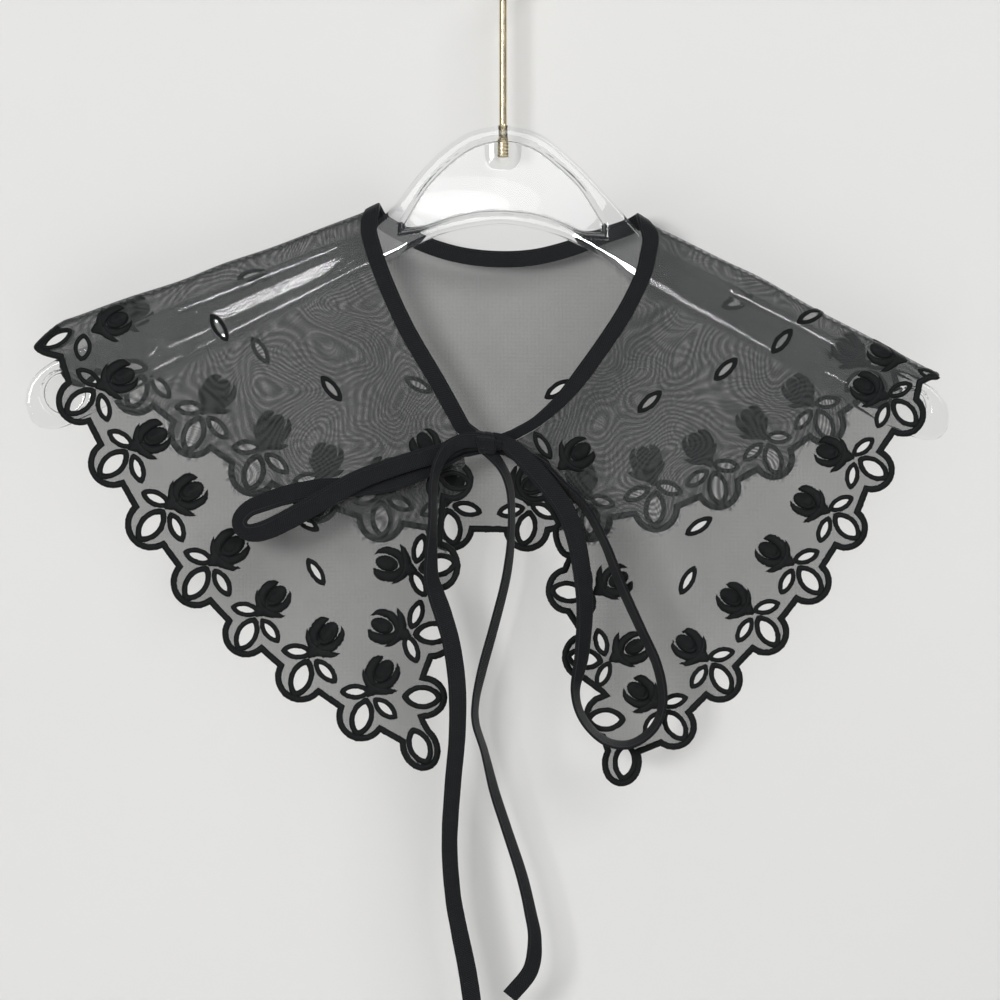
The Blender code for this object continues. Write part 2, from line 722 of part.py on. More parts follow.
def left_front(neck):
    hem = hem_lobes(LEFT_HEM, cloth_on_left=True)
    edge = neck_edge(neck)
    lobes = [*hem, *LEFT_FRONT_EDGE]
    arcs = [lobe_arc(lobe) for lobe in lobes]
    tip = flat(LEFT_TIP_CORNER)
    top = fold_line(edge[-1, 0], tip[0, 0])
    outline = np.vstack([tip, *arcs, edge, top])
    return outline, *fillings(lobes, 1, LEFT_SPRINKLED)


def right_front(neck):
    hem = hem_lobes(RIGHT_HEM, cloth_on_left=False)
    edge = neck_edge(neck)
    lobes = [*RIGHT_FRONT_EDGE, *hem]
    arcs = [lobe_arc(lobe) for lobe in lobes]
    tip = flat(RIGHT_TIP_CORNER)
    top = fold_line(tip[-1, 0], edge[0, 0])
    outline = np.vstack([edge, *arcs, tip, top])
    return outline, *fillings(lobes, -1, RIGHT_SPRINKLED)


def back(neck):
    left = hem_lobes(BACK_LEFT_HEM, cloth_on_left=True)
    right = hem_lobes(BACK_RIGHT_HEM, cloth_on_left=False)
    edge = neck_edge(neck)[::-1]
    left_tip, right_tip = flat(LEFT_TIP_CORNER), flat(RIGHT_TIP_CORNER)
    arcs = [lobe_arc(lobe) for lobe in [*left, *right]]
    top_right = fold_line(right_tip[-1, 0], edge[0, 0])
    top_left = fold_line(edge[-1, 0], left_tip[0, 0])
    outline = np.vstack([left_tip, *arcs, right_tip, top_right, edge, top_left])
    left_holes, left_roses = fillings(left, 1, BACK_SPRINKLED)
    right_holes, right_roses = fillings(right, -1, ())
    return outline, left_holes + right_holes, left_roses + right_roses


# The knot, the hanger and its hook


def bow_knot(name, material):
    """The wrapped knot: a barrel with rounded ends and a raised band round its middle."""
    cage = bmesh.new()
    bmesh.ops.create_cube(cage, size=1.0)
    bmesh.ops.subdivide_edges(cage, edges=cage.edges, cuts=2, use_grid_fill=True)
    for vert in cage.verts:
        end = abs(vert.co.x) > 0.4
        vert.co.x *= KNOT.width * MM
        vert.co.y *= KNOT_DEPTH * (0.72 if end else 1.0)
        vert.co.z *= KNOT_HEIGHT * (0.72 if end else 1.0)
        vert.co.y -= KNOT.front * MM
        vert.co.x += KNOT.x * MM
        vert.co.z += KNOT.z * MM
    mesh = bpy.data.meshes.new(name)
    cage.to_mesh(mesh)
    cage.free()
    mesh.materials.append(material)
    knot = bpy.data.objects.new(name, mesh)
    rounding = knot.modifiers.new("Soft form", "SUBSURF")
    rounding.levels = rounding.render_levels = 1
    parts.objects.link(knot)
    return knot


def rim_heights(x):
    """The hanger's upper and lower edges at x."""
    top, under = flat(HANGER_TOP), flat(HANGER_UNDER)[::-1]
    return np.interp(x, top[:, 0], top[:, 1]), np.interp(x, under[:, 0], under[:, 1])


def pocket_outline(start, end):
    """The sunk panel between two x places, a rim's width inside the hanger's edges."""
    x = np.linspace(start, end, max(6, round((end - start) / (9 * MM))))
    upper, lower = rim_heights(x)
    upper = upper - HANGER_RIM * np.sqrt(1 + np.gradient(upper, x) ** 2)
    lower = lower + HANGER_RIM * np.sqrt(1 + np.gradient(lower, x) ** 2)
    ends = [0, -1]
    upper[ends], lower[ends] = 0.7 * upper[ends] + 0.3 * lower[ends], 0.7 * lower[ends] + 0.3 * upper[ends]
    above = np.stack([x, upper], 1)[::-1]
    if start < 0 < end:
        boss = flat(BOSS)
        wide = np.abs(above[:, 0]) > boss[0, 0] + 2 * MM
        above = np.vstack([above[wide & (above[:, 0] > 0)], boss, above[wide & (above[:, 0] < 0)]])
    return np.vstack([np.stack([x, lower], 1), above])


def circle(x, z, radius, sides=14):
    angle = np.arange(sides) * 2 * np.pi / sides
    return np.stack([x + radius * np.cos(angle), z + radius * np.sin(angle)], 1)


def inset(loop, distance):
    """The loop moved inwards, for a loop that runs anticlockwise."""
    before = loop - np.roll(loop, 1, axis=0)
    after = np.roll(loop, -1, axis=0) - loop
    before /= np.linalg.norm(before, axis=1, keepdims=True)
    after /= np.linalg.norm(after, axis=1, keepdims=True)
    bisector = np.stack([-before[:, 1] - after[:, 1], before[:, 0] + after[:, 0]], 1)
    return loop + 2 * distance * bisector / np.sum(bisector**2, axis=1, keepdims=True)


def hanger_body(name, material):
    """A plate with rounded edges and sunk panels on both faces, bored from above for the hook."""
    edge = np.vstack([flat(HANGER_TOP), flat(HANGER_UNDER)])[::-1]
    pockets = [pocket_outline(start * MM, end * MM) for start, end in HANGER_POCKETS]
    pockets += [circle(x * MM, z * MM, radius * MM) for x, z, radius in HANGER_END_POCKETS]
    face = [inset(edge, HANGER_EDGE), *pockets]
    floors = [inset(pocket, 0.8 * MM) for pocket in pockets]
    half, shoulder, web = HANGER_DEPTH / 2, HANGER_DEPTH / 2 - HANGER_EDGE, HANGER_WEB / 2
    rings = [(loop, half) for loop in face] + [(edge, shoulder)] + [(loop, web) for loop in floors]
    starts = np.cumsum([0] + [len(loop) for loop, _ in rings])
    flat_points = np.vstack([loop for loop, _ in rings])
    depth = np.concatenate([np.full(len(loop), y) for loop, y in rings])
    cap = triangulate(name, face)
    walls = [(0, len(face))] + [(1 + k, len(face) + 1 + k) for k in range(len(pockets))]
    one_side = cap.tolist()
    for rim, foot in walls:
        one_side += band(starts[rim], starts[foot], len(rings[rim][0]))
    one_side += [tuple(range(starts[k], starts[k + 1])) for k in range(len(face) + 1, len(rings))]
    count = len(flat_points)
    faces = one_side + [tuple(i + count for i in corners) for corners in one_side]
    faces += band(starts[len(face)], starts[len(face)] + count, len(edge))
    front = np.stack([flat_points[:, 0], FRONT * depth, flat_points[:, 1]], 1)
    back = np.stack([flat_points[:, 0], BACK * depth, flat_points[:, 1]], 1)
    body = mesh_object(name, np.vstack([front, back]), faces, material)
    cut(body, bore_tool())


def band(first, second, count):
    """Quads between two rings of points, given where each starts."""
    pairs = [(i, (i + 1) % count) for i in range(count)]
    return [(first + i, first + after, second + after, second + i) for i, after in pairs]


def bore_tool():
    """The blind hole that the hook screws into."""
    bore = bmesh.new()
    length = 20 * MM
    radius = THREAD_RADIUS + GAP
    bmesh.ops.create_cone(
        bore, cap_ends=True, cap_tris=False, segments=16, radius1=radius, radius2=radius, depth=length
    )
    mesh = bpy.data.meshes.new("hook_bore")
    bore.to_mesh(mesh)
    bore.free()
    tool = bpy.data.objects.new("hook_bore", mesh)
    tool.location.z = THREAD_END - GAP + length / 2
    return tool


def hook_path():
    """Middle of the wire from its threaded end up the shank and round the crook, with its thickness."""
    middle = CROOK_RADIUS - WIRE_RADIUS
    thread = THREAD_RADIUS / WIRE_RADIUS
    rows = [(0, THREAD_END, thread), (0, THREAD_TOP, thread), (0, THREAD_TOP + 0.4 * MM, 1)]
    meet = np.radians(CROOK_MEET)
    bend = CROOK_RADIUS * np.cos(meet) / (1 - np.cos(meet))  # the shank's own bend into the crook
    foot = -(CROOK_RADIUS + bend) * np.sin(meet) - middle
    for angle in np.linspace(0, meet, 8)[:-1]:
        rows.append((bend * (1 - np.cos(angle)), foot + bend * np.sin(angle), 1))
    for angle in np.linspace(-meet, np.radians(206), 22):
        rows.append((CROOK_RADIUS * np.cos(angle), CROOK_RADIUS * np.sin(angle) - middle, 1))
    return rows


def hanger_hook(name, material):
    curve = bpy.data.curves.new(name, "CURVE")
    curve.dimensions = "3D"
    curve.fill_mode = "FULL"
    curve.bevel_depth = WIRE_RADIUS
    curve.bevel_resolution = 2
    curve.use_fill_caps = True
    rows = hook_path()
    spline = curve.splines.new("POLY")
    spline.points.add(len(rows) - 1)
    for point, (x, z, thickness) in zip(spline.points, rows):
        point.co = (x, 0, z, 1)
        point.radius = thickness
    spline.use_smooth = True
    curve.materials.append(material)
    hook = bpy.data.objects.new(name, curve)
    parts.objects.link(hook)
    return hook


def main():
    organza = principled("black_organza", (0.035, 0.036, 0.040), 0.75)
    satin = principled("black_ribbon", (0.012, 0.012, 0.015), 0.62)
    acrylic = principled("clear_acrylic", (0.93, 0.94, 0.94), 0.06, transmission=1.0)
    brass = principled("pale_brass", (0.62, 0.52, 0.33), 0.28, metallic=1.0)

    runs = neck_stations()
    layers = (
        ("collar_front_left", left_front(runs[0]), FRONT),
        ("collar_front_right", right_front(runs[2]), FRONT),
        ("collar_back", back(runs[1]), BACK),
    )
    for name, (outline, holes, roses), side in layers:
        cut_layer(name, outline, holes, roses, side, 17 * MM, organza)
    neck_binding("neck_binding", runs, satin)
    bow_knot("tie_knot", satin)
    ribbon("tie_loop_left", LOOP_LEFT, satin)
    ribbon("tie_loop_right", LOOP_RIGHT, satin)
    ribbon("tie_tail_left", TAIL_LEFT, satin, 7 * MM)
    ribbon("tie_tail_right", TAIL_RIGHT, satin, 7 * MM)
    hanger_body("hanger_body", acrylic)
    hanger_hook("hanger_hook", brass)


for old in list(bpy.data.objects):
    bpy.data.objects.remove(old)
parts = bpy.data.collections.new("lace_collar_on_hanger")
cutters = bpy.data.collections.new("cutters")
cutters.hide_render = True
for collection in (parts, cutters):
    bpy.context.scene.collection.children.link(collection)

main()
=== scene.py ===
"""Dresses an embroidered organza cape collar with a tie ribbon, hung on a clear moulded hanger.

Metres, +Z up, the front faces -Y and the origin is the inside top of the hook's crook. The cloth is
drawn flat in the plane of the hanger (x, z) and carried onto its front or back layer by drape().
Tables are in millimetres.
"""

from collections import namedtuple

import bpy
import numpy as np
from bpy.props import FloatProperty, FloatVectorProperty, PointerProperty
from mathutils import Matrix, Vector
from mathutils.geometry import delaunay_2d_cdt


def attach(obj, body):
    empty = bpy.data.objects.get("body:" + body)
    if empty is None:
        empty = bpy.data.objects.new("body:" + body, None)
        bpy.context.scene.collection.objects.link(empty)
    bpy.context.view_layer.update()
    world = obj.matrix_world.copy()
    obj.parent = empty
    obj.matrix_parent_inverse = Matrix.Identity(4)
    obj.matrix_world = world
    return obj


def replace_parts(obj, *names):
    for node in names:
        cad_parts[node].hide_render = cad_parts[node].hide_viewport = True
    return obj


bl_info = {
    "name": "Lace Collar on Hanger",
    "version": (1, 0, 0),
    "blender": (4, 5, 0),
    "location": "View3D > Sidebar > Collar",
    "description": "Dresses an embroidered organza cape collar that hangs on a clear hanger",
    "category": "Object",
}

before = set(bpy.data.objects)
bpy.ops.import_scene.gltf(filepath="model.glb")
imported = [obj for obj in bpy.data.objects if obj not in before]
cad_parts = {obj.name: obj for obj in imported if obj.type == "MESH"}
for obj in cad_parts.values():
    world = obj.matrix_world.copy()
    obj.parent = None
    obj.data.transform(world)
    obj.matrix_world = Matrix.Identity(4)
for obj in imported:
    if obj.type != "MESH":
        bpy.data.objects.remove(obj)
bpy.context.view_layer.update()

MM = 0.001
FRONT, BACK = -1, 1  # which side of the hanger a layer hangs on

# Sizes of the cloth, the binding, the hanger and the hook, the main ones shared with the solids
CLOTH_WALL = 1.0 * MM
BINDING_WIDTH = 7.6 * MM
BINDING_WALL = 1.8 * MM
RIBBON_WALL = 1.2 * MM
SWELL = 1.6 * MM  # how far the hanging cloth bellies out
SWELL_PITCH = 74 * MM
SWELL_START, SWELL_SLOPE = 40 * MM, 70 * MM  # where below the shoulder line it begins, and grows in full
SWELL_PHASE = {FRONT: 0.6, BACK: 2.1}
CREASE_START, CREASE_SLOPE = 12 * MM, 20 * MM  # the same for the creases
NECK_EASE = 9 * MM  # how far the binding turns from the neck's edge to the shoulder line at each corner
BINDING_TAPER = 0.34  # share of its width that the binding loses at the foot of its right run
TAPER_START, TAPER_SLOPE = -215 * MM, 28 * MM
SEAM = 0.02 * MM  # between the layers along the top of the fold
CLOTH_LIFT = 0.52 * MM  # from the inner face of a panel's solid to the middle of its organza
STITCH_LIFT = 0.55 * MM  # and to the middle of its stitching
SATIN_HEIGHT = 0.62 * MM  # how far a satin band stands up on each face
WELD_REACH = 0.001 * MM  # for merging the points that close a shape
HANGER_DEPTH = 12 * MM
HANGER_WEB = 3 * MM
HANGER_RIM = 5.2 * MM
ARM_RIM = 4.3 * MM  # the upper rims of the arms
ARM_SWELL = 2.8 * MM  # how far the floor of each arm's panel stands up along its middle
ARM_SWELL_SLOPE = 1.6 * MM
RIM_SLOPE = 1.8 * MM  # from a panel's floor up to its rim
RIM_FALL = 0.25 * MM  # how far the rims fall to their outer edge
RIM_FALL_WIDTH = 2.0 * MM
END_SHARE = 0.03  # of the hanger's length at each end, where its stations crowd
WIRE_RADIUS = 1.8 * MM
CROOK_RADIUS = 20 * MM  # to the middle of the wire
CROOK_MEET = 74  # degrees below level where the shank's bend runs into the crook
THREAD_RADIUS = 2.3 * MM
THREAD_TOP = -103.2 * MM
THREAD_END = -116.8 * MM
THREAD_PITCH = 1.5 * MM
THREAD_DEPTH = 0.30 * MM
ROD_STEP, THREAD_STEP, CAP_STEP = 1.2 * MM, 0.12 * MM, 0.4 * MM  # between the rings of the hook's parts
ROLL_REACH = HANGER_DEPTH / 2 + 0.15 * MM  # from the middle to the cloth's inner face
ROLL_RISE = 3.4 * MM  # height of the fold's rounded top, on its inner face
ROLL_DROP = ROLL_RISE + CLOTH_WALL

# Embroidery: one repeat of the hem is a round lobe and a short straight step
LOBE_SHARE = 0.708  # of the repeat's length, the rest is the step
LOBE_SWEEP = 79  # degrees of a scallop's arc each way from its middle
ARC_POINTS = 41  # along a scallop's edge
HOLE_POINTS, RING_POINTS = 24, 44  # round an eyelet's hole and its satin ring
HOLE_POWER, RING_POWER = 0.75, 0.68  # how full their sides are, see pointed_oval()
Eyelet = namedtuple("Eyelet", "along inward turn length width ring tip")
# Places along the hem and inwards from the middle of a lobe, for a repeat 33 mm long
HEM_REPEAT = 33.0
BIG_EYELET = Eyelet(along=0.4, inward=-0.3, turn=77, length=12.4, width=6.2, ring=2.5, tip=3.2)
SIDE_EYELETS = (
    Eyelet(along=-8, inward=8.5, turn=150, length=8.6, width=2.9, ring=2.3, tip=3.0),
    Eyelet(along=7.8, inward=8.5, turn=12, length=8.6, width=2.9, ring=2.3, tip=3.0),
)
LONE_EYELET = Eyelet(along=0, inward=0.5, turn=90, length=12.4, width=6.4, ring=2.5, tip=3.2)
Rose = namedtuple("Rose", "along inward hub_along hub_inward")
ROSES = {1: Rose(-1.3, 21.9, -2.3, 10.8), -1: Rose(0.6, 23.5, -0.9, 13.2)}  # of the two ways a motif is handed
OPEN_ROSE_SHIFT = {1: 1.5, -1: 3.2}  # along the edge, where a rose has no neighbour below
SMALLEST_MOTIF, LARGEST_MOTIF = 0.86, 1.05
ROSE_HEART, OPEN_ROSE_HEART = 0.97, 0.86  # size of the rolled heart
LONE_ROSE_SIZES = (0.92, 0.95)  # of a rose that stands apart, and of its heart

# Narrow eyelets sprinkled over the panels: middle, and the way their length runs
Sprinkled = namedtuple("Sprinkled", "x z turn")
SPRINKLED_SIZES = (8.6, 2.3, 2, 3.2)  # length, width, and its satin ring at the sides and the tips
LEFT_SPRINKLED = (
    Sprinkled(-130.2, -195.5, -59), Sprinkled(-78.7, -223.5, -51), Sprinkled(-90.5, -284.5, -35),
    Sprinkled(-85.8, -307.5, -57),
)
RIGHT_SPRINKLED = (
    Sprinkled(141.4, -190, 26), Sprinkled(18.2, -249.6, -58), Sprinkled(127.9, -201.7, 50),
    Sprinkled(102.1, -214.6, 44), Sprinkled(67.2, -229.5, 42), Sprinkled(89.7, -286.6, 33),
    Sprinkled(84.6, -311.4, 62),
)
BACK_SPRINKLED = (
    Sprinkled(-115.5, -171, 12), Sprinkled(-112, -205.6, -58), Sprinkled(-39.1, -221.5, -28),
    Sprinkled(25.3, -223.5, 35), Sprinkled(107.6, -183.8, 15),
)

# A scallop: middle, way it faces (0 is +X, 90 is up), half width, reach, sweep each way, filling
Lobe = namedtuple("Lobe", "x z facing across along sweep filling")

# The shoulder line, the top of the fold, from the left tip over the neck to the right tip
SHOULDER = (  # x, z
    (-217, -203), (-205, -193), (-194.5, -189), (-172.5, -181), (-149, -173.5), (-129, -165.5), (-106.5, -158),
    (-84.5, -149.5), (-60, -140), (-50, -133.5), (-38, -125), (0, -116), (44, -131), (64.5, -145), (84, -155),
    (102, -164), (119, -172), (135.5, -181.5), (148, -188.5), (166.5, -198), (183, -207), (201, -216.5),
)
NECK_LEFT = (-60, -140)
NECK_RIGHT = (64.5, -145)

# Corners between the hem's repeats, shoulder to point
LEFT_HEM = (
    (-199, -219), (-184.5, -247.5), (-168.5, -276), (-148.5, -303.5), (-126, -328.5), (-102.5, -349), (-75, -368),
    (-46.5, -384),
)
RIGHT_HEM = (
    (189.5, -226.5), (173, -251), (162.5, -278.5), (146.5, -303.5), (128, -327.5), (107, -349.5), (85.5, -370.5),
    (64.5, -392.5),
)
LEFT_TIP_CORNER = ((-205, -193.5), (-210.5, -198), (-215.5, -204), (-211.5, -208), (-204, -210))
RIGHT_TIP_CORNER = ((192.5, -221.5), (196.5, -219.5), (200.5, -217))
# The front edges below the knot, from the point up on the left and from the knot down on the right
LEFT_FRONT_EDGE = (
    Lobe(-38, -388, -66, 9, 11.2, 120, "lone eyelet"), Lobe(-36.5, -365, -2, 10.1, 11, 84, "lone eyelet"),
    Lobe(-32.5, -336, -8, 11.7, 11.2, 80, "open rose"), Lobe(-30, -305, -2, 11.7, 10.5, 80, "open rose"),
    Lobe(-22.5, -266, -28, 9.5, 8.8, 84, "eyelets"),
)
RIGHT_FRONT_EDGE = (
    Lobe(14.5, -266.5, 212, 9.5, 9, 84, "eyelets"), Lobe(27.5, -293, 198, 8.6, 4.2, 76, "plain"),
    Lobe(30, -316, 185, 11, 10.5, 80, "open rose"), Lobe(37.5, -346.5, 184, 11, 10.5, 80, "open rose"),
    Lobe(46.5, -374, 180, 10.5, 9.6, 80, "lone eyelet"), Lobe(54.5, -395, -95, 9.2, 11, 115, "lone eyelet"),
)
# Roses that stand apart from the scallops: middle x and z, and the way their stem comes in, in degrees
Lone = namedtuple("Lone", "x z way")
LEFT_LONE = (Lone(-178, -192.4, 24), Lone(-35.2, -249.6, 118))
RIGHT_LONE = (Lone(34.6, -253.2, 38), Lone(174.6, -206.2, 158))
BACK_LONE = (Lone(-169, -187.6, 24),)
# Eyelets at the left tip and the right one: x, z, turn, length, width, ring at the sides and the tips
TIP_EYELET = (-205.2, -200.6, 28, 12.4, 4.2, 2, 2.4)
TIP_RING = (-192.8, -204.6, 84, 8.2, 4.4, 2, 2.4)
TIP_SLIT = (195.4, -216.6, -20, 6.2, 1.4, 2, 2.4)
# The back's hem, shoulder to middle
BACK_LEFT_HEM = (
    (-204, -210.5), (-178, -217.5), (-152.5, -237), (-125.5, -256), (-96.5, -271.5), (-67.5, -281), (-36, -286.5),
    (-3.5, -287.5),
)
BACK_RIGHT_HEM = (
    (180.5, -215.5), (156.5, -233.5), (133.5, -250.5), (109, -264.5), (81.5, -276.5), (50.5, -282), (22, -287.5),
    (-9, -287.5),
)

# The middle of the neck binding: up the left front, across the back, down the right front
LEFT_NECK = (
    (-18.6, -241.2), (-30, -220.5), (-44, -196.5), (-54.5, -173.5), (-60.5, -156), (-61.5, -148),
)
BACK_NECK = (
    (-56, -146), (-46, -152), (-32.5, -158), (-17.5, -162), (-1, -163.5), (15, -162.5), (31, -158.5),
    (44.5, -153.5), (57.5, -149),
)
RIGHT_NECK = (
    (67.5, -154), (66.5, -162), (63.5, -173), (53, -193), (32, -222.5), (17, -237.4), (5, -244.6),
)

# The bow. Rows run along each ribbon: x, z, distance in front of the hanger, width, turn on its axis
Knot = namedtuple("Knot", "x z front width")
KNOT = Knot(-7.8, -248.4, 16, 15.6)
KNOT_HEIGHT = 10.4 * MM
KNOT_DEPTH = 12.4 * MM
# The grooves that wind round the knot: depth, place and sway as shares of its half width, and phase
KNOT_FOLDS, KNOT_FOLD_WIDTH = ((0.06, 0.20, 0.16, 0), (0.05, -0.16, 0.12, 1.2)), 0.045
LOOP_LEFT = (
    (-10.5, -248.4, 17.4, 6.6, 0), (-16.2, -248.9, 17, 7, 0), (-19.2, -249.3, 17.2, 7.4, 0),
    (-29, -253, 17.2, 8.4, 0), (-47.5, -258.6, 17.2, 8.6, 0), (-66, -265.4, 17.2, 9.2, 2),
    (-84, -275.5, 17.4, 9.6, 4), (-101, -285, 17.8, 9.6, 10), (-111.5, -289.2, 18, 9.4, 22),
    (-118, -288.8, 18, 8.8, 34), (-120.4, -284.2, 17.8, 8.8, 36), (-116.6, -279, 17.4, 8.8, 32),
    (-109, -275.6, 16.8, 9, 22), (-98.5, -272.2, 15.8, 9, 12), (-84, -269.4, 14.2, 9, 6),
    (-66, -268.4, 13.6, 8.8, 2), (-48, -265.6, 13.4, 8.6, 0), (-30, -257.6, 13.2, 7.8, 0),
    (-19.5, -252, 13, 7.2, 0), (-16.2, -251.4, 13, 7, 0), (-10.5, -250.4, 13.6, 6.6, 0),
)
LOOP_RIGHT = (
    (-5, -246.9, 18, 6.8, 0), (-0.2, -248, 17, 7, 0), (3.8, -250.4, 17.4, 7.6, 0), (9.9, -256, 18, 8.6, 0),
    (18.6, -265.7, 18.6, 9, 0), (26.8, -276.5, 18.6, 9, 0), (31.4, -286.2, 18.4, 8.8, 0),
    (34.9, -300, 17.6, 8.6, 6), (37.3, -321.5, 16.8, 8.6, 26), (36, -345, 16.6, 8.6, 40), (33, -362, 16.8, 8.6, 62),
    (36.5, -374.5, 17.4, 8.6, 66), (45.5, -384, 17.6, 8.6, 66), (56, -386.5, 17.6, 8.6, 66),
    (65, -382.5, 17.6, 8.6, 66), (71, -375, 17.6, 8.6, 66), (73, -364, 17.6, 8.6, 64), (70, -349, 17.6, 8.6, 62),
    (61.8, -331, 17.4, 8.6, 62), (53.5, -312.5, 17.2, 8.6, 60), (47.2, -296, 17, 8.6, 64),
    (39.3, -280.6, 16, 8.6, 64), (33.1, -273.2, 15.4, 8.6, 62), (26.2, -267.2, 14.6, 8.4, 56),
    (17, -259.4, 13.4, 8, 30), (4, -252, 11.7, 7.2, 4), (0.8, -250.8, 11.5, 7, 0), (-5, -250.2, 12.4, 6.8, 0),
)
TAIL_LEFT = (
    (-10, -247.2, 19.8, 6.8, 0), (-16, -247.4, 19.6, 7, 0), (-18.6, -247.7, 20.2, 7, 0), (-25, -251, 20.6, 7, 24),
    (-29.8, -258.5, 20.4, 6.8, 48), (-31.8, -268.4, 19.6, 7, 58), (-32.1, -284, 18.6, 7, 56),
    (-32.8, -297.7, 17.4, 7.2, 42), (-32.8, -309.5, 16.4, 7.6, 28), (-30.4, -318.3, 15.9, 8.2, 12),
    (-27.4, -327, 15.7, 8.4, 0), (-23.5, -341, 15.4, 8.2, 0), (-21, -360, 15, 8.2, 0), (-21, -382, 14.2, 7.8, 0),
    (-23, -405, 13.2, 7.6, 0), (-24.5, -431.5, 12.6, 7.4, 0), (-23, -455, 12.4, 7.4, 0), (-20, -472, 12.4, 8, 0),
    (-16, -492, 12.6, 8.4, 0), (-12, -520, 13, 8.4, 0),
)
TAIL_RIGHT = (
    (-9, -250.6, 14.8, 5.6, 10), (-6.4, -252.8, 15.2, 6, 24), (-3, -256.2, 15.2, 6.6, 42),
    (-0.2, -260.2, 14.8, 7, 54), (1.9, -264.8, 14.2, 7.4, 60), (3.4, -271.5, 13.8, 7.6, 65),
    (3.9, -281, 13.4, 7.6, 67), (3.6, -292, 13.3, 7.6, 66), (2.7, -302, 13.2, 7.6, 62), (0.6, -314, 13, 7.6, 60),
    (-4.3, -333, 12.6, 7.6, 58), (-9.5, -352, 12, 7.6, 58), (-12.5, -366.5, 11, 7.6, 66),
    (-12.5, -377, 10.4, 7.6, 66), (-8.5, -390, 9.8, 7.6, 66), (-4, -408, 9.4, 7.6, 56), (1.5, -425, 9.4, 7.6, 54),
    (8.5, -446.5, 9.6, 7.6, 50), (12.5, -463.5, 9.8, 7.6, 46), (14.5, -476, 10, 7.6, 36),
    (12.5, -490, 10.4, 7.6, 12), (3, -502, 10.8, 7.6, 0),
)

# Hanger outline, left end to right end along the top, and right end to left end underneath
HANGER_TOP = (
    (-219.5, -230), (-218, -222.5), (-213, -215.5), (-203, -209), (-184, -200.5), (-164.5, -191), (-140, -181),
    (-116.5, -172), (-90, -161), (-66, -152), (-58.5, -147), (-51, -140.5), (-43, -130.5), (-32.5, -118),
    (-20, -108), (-10.5, -104), (0, -102.5), (10, -104), (19.5, -108), (31.5, -118), (42.5, -129), (52, -139.5),
    (63.5, -152.5), (74, -160), (95, -170.5), (125, -185.5), (152.5, -200), (185, -216.5), (197, -223),
    (203.5, -230.5),
)
HANGER_UNDER = (
    (204.8, -236), (203.5, -242.5), (198.5, -246.8), (188, -245.5), (172, -238), (155, -228), (129.5, -212),
    (95, -193.5), (63, -177), (50, -166), (31, -155.5), (14.5, -150), (-1.5, -148), (-17.5, -150), (-33.5, -154.5),
    (-50, -163), (-66, -170.5), (-93.5, -185), (-116, -197), (-139.5, -209), (-162.5, -220.5), (-182, -231),
    (-197, -239.5), (-208.5, -242), (-216, -238.5),
)
# Sunk panels in each face of the hanger, from one x to another between its rims
HANGER_POCKETS = ((-158, -70), (-47, 47), (73, 150))
HANGER_END_POCKETS = ((-201.5, -225.5, 11), (187, -231.5, 9))  # x, z, radius
# The mound round the hook's bore: where it starts to rise, its slope, half width and share of the depth
MOUND_FOOT, MOUND_SLOPE, MOUND_WIDTH, MOUND_SHARE = -122 * MM, 5.5 * MM, 3.6 * MM, 0.42
# Painted shade: how much more opaque, and so darker, the organza is made along the fold, on the fronts where the back
# lies behind them, and on the back where it lies behind the hanger, where light is lost between layers; a little less
# opaque on the back
FOLD_SHADE, FOLD_SHADE_WIDTH, BACK_SHADE, ARM_SHADE = 0.8, 1.0 * MM, -0.025, 0.16
ARM_SHADE_EDGE, MOIRE_EDGE = 1.2 * MM, 3 * MM  # over which these start at the hanger's edge
DOUBLED_SHADE = {"collar_front_left": 0.085, "collar_front_right": 0.115, "collar_back": 0}

# Streaks of light along the arms, each seen from one x, z to another, with its width
STREAKS = (
    (-132.5, -190.9, -70.4, -163.3, 5), (-160, -214.6, -44, -157, 0.9), (-162, -207.8, -134, -195.9, 1),
    (-150, -188.2, -76, -158.9, 0.8), (32, -153.1, 92, -188, 2.3), (84, -183.4, 123, -206.1, 1.5),
    (103.5, -178, 152.3, -203.3, 1), (111.8, -195, 157.8, -221.2, 0.9),
)
# Soft brightness of the web, nested ovals seen round an x, z, with their width, height and radiance
GLOWS = (
    (-22, -139.8, 32, 8, 3), (-20, -138.8, 46, 14, 2.4), (-16, -137, 66, 24, 1.4), (0, -131, 98, 58, 4.3),
    (-50, -151, 30, 20, 3),
)

# The stage, in metres
CAMERA_PLACE = (-1.4 * MM, -2.4, -274.6 * MM)
CAMERA_LENS = 187.83  # millimetres, on a sensor 36 wide
STAGE_REACH, FLOOR_LEVEL, WALL_TOP, FLOOR_DEPTH = 2.2, -1.5, 1.2, 3.0
LIGHT_TARGET = (0, 0, -0.26)


# Curves and outlines in the plane of the hanger


def flat(points):
    """Rows that begin with x and z in millimetres, as an array of (x, z) in metres."""
    return np.array([(row[0] * MM, row[1] * MM) for row in points])


def unit(vectors):
    """The vectors with their length made one."""
    return vectors / np.maximum(np.linalg.norm(vectors, axis=-1, keepdims=True), 1e-12)


def compass(degrees):
    """The unit way (x, z) of an angle: 0 is +X and 90 is up."""
    return np.array([np.cos(np.radians(degrees)), np.sin(np.radians(degrees))])


def quarter_turn(ways):
    """Each way turned a quarter to its left."""
    return np.stack([-ways[..., 1], ways[..., 0]], -1)


def rounded_step(distance, width):
    """0 at one side of a slope and 1 at the other, with soft shoulders: 3 t squared less 2 t cubed."""
    t = np.clip(distance / width, 0, 1)
    return t * t * (3 - 2 * t)


def round_angles(sides):
    """The angles of a ring's points."""
    return np.arange(sides) * 2 * np.pi / sides


def distances(path):
    """How far along a path each of its points is."""
    return np.concatenate([[0], np.cumsum(np.linalg.norm(np.diff(path, axis=0), axis=1))])


